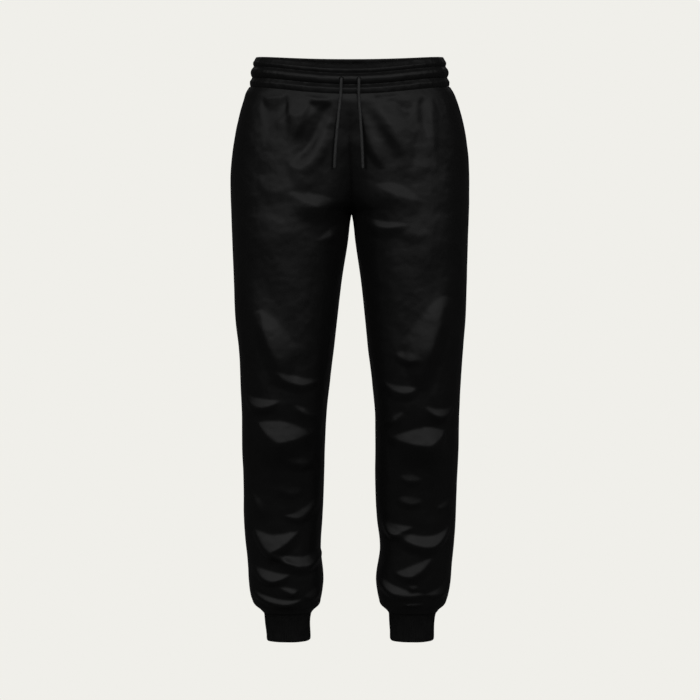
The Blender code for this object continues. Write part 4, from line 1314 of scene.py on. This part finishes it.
class JOGGERS_OT_waistband(bpy.types.Operator):
    """Add the puckered waistband with its rows of stitching and its two buttonholes"""

    bl_idname = "joggers.waistband"
    bl_label = "Waistband"

    def execute(self, context):
        colours, sizes = context.scene.joggers_colours, context.scene.joggers_sizes
        piece, width, length = make_waistband(sheared_cotton_fleece(colours), sizes.pucker)
        thread = spun_polyester_thread(colours)
        rows = [
            band_row(row, 1 if number < RIM_ROW else -1, sizes.stitch)
            for number, row in enumerate(BAND_PROFILE)
            if row.loose == 0 and abs(row.height) < BAND_STITCHED
        ]
        holes = [buttonhole_stitches(route) for route in CORD_ROUTES.values()]
        seams = make_stitches("waistband_lockstitch", rows, thread)
        edges = make_stitches("buttonhole_stitching", holes, thread)
        return {"FINISHED"}


class JOGGERS_OT_legs(bpy.types.Operator):
    """Add the four creased panels of the legs and the seat"""

    bl_idname = "joggers.legs"
    bl_label = "Leg panels"

    def execute(self, context):
        colours, sizes = context.scene.joggers_colours, context.scene.joggers_sizes
        materials = [sheared_cotton_fleece(colours), brushed_fleece_back(colours)]
        for side in (RIGHT, LEFT):
            for half in (FRONT, BACK):
                piece, width, length = make_panel(side, half, materials, sizes)
                mesh_area(piece)
        return {"FINISHED"}


class JOGGERS_OT_cuffs(bpy.types.Operator):
    """Add the two rib knit cuffs"""

    bl_idname = "joggers.cuffs"
    bl_label = "Rib cuffs"

    def execute(self, context):
        material = cotton_rib_knit(context.scene.joggers_colours)
        rib_height = context.scene.joggers_sizes.rib
        for side in (RIGHT, LEFT):
            piece, width, length = make_cuff(side, material, rib_height)
        return {"FINISHED"}


class JOGGERS_PT_panel(bpy.types.Panel):
    """Lists the pieces, in the order in which they are made, and the sizes and colours"""

    bl_label = "Joggers"
    bl_idname = "JOGGERS_PT_panel"
    bl_space_type = "VIEW_3D"
    bl_region_type = "UI"
    bl_category = "Joggers"

    def draw(self, context):
        for maker in MAKERS:
            self.layout.operator(maker.bl_idname)
        for group, names in (
            (context.scene.joggers_sizes, JoggersSizes.__annotations__),
            (context.scene.joggers_colours, JoggersColours.__annotations__),
        ):
            for name in names:
                self.layout.prop(group, name)


MAKERS = (
    JOGGERS_OT_stage,
    JOGGERS_OT_drawcord,
    JOGGERS_OT_legs,
    JOGGERS_OT_waistband,
    JOGGERS_OT_cuffs,
)
CLASSES = (JoggersColours, JoggersSizes, *MAKERS, JOGGERS_PT_panel)


def register():
    """Registers the classes and puts the properties on the scene."""
    for each in CLASSES:
        bpy.utils.register_class(each)
    bpy.types.Scene.joggers_colours = bpy.props.PointerProperty(type=JoggersColours)
    bpy.types.Scene.joggers_sizes = bpy.props.PointerProperty(type=JoggersSizes)


def unregister():
    """Takes the properties off the scene and unregisters the classes."""
    del bpy.types.Scene.joggers_sizes
    del bpy.types.Scene.joggers_colours
    for each in reversed(CLASSES):
        bpy.utils.unregister_class(each)


def main():
    """Makes everything in order."""
    register()
    bpy.ops.joggers.stage()
    bpy.ops.joggers.drawcord()
    bpy.ops.joggers.legs()
    bpy.ops.joggers.waistband()
    bpy.ops.joggers.cuffs()


if __name__ == "__main__":
    main()
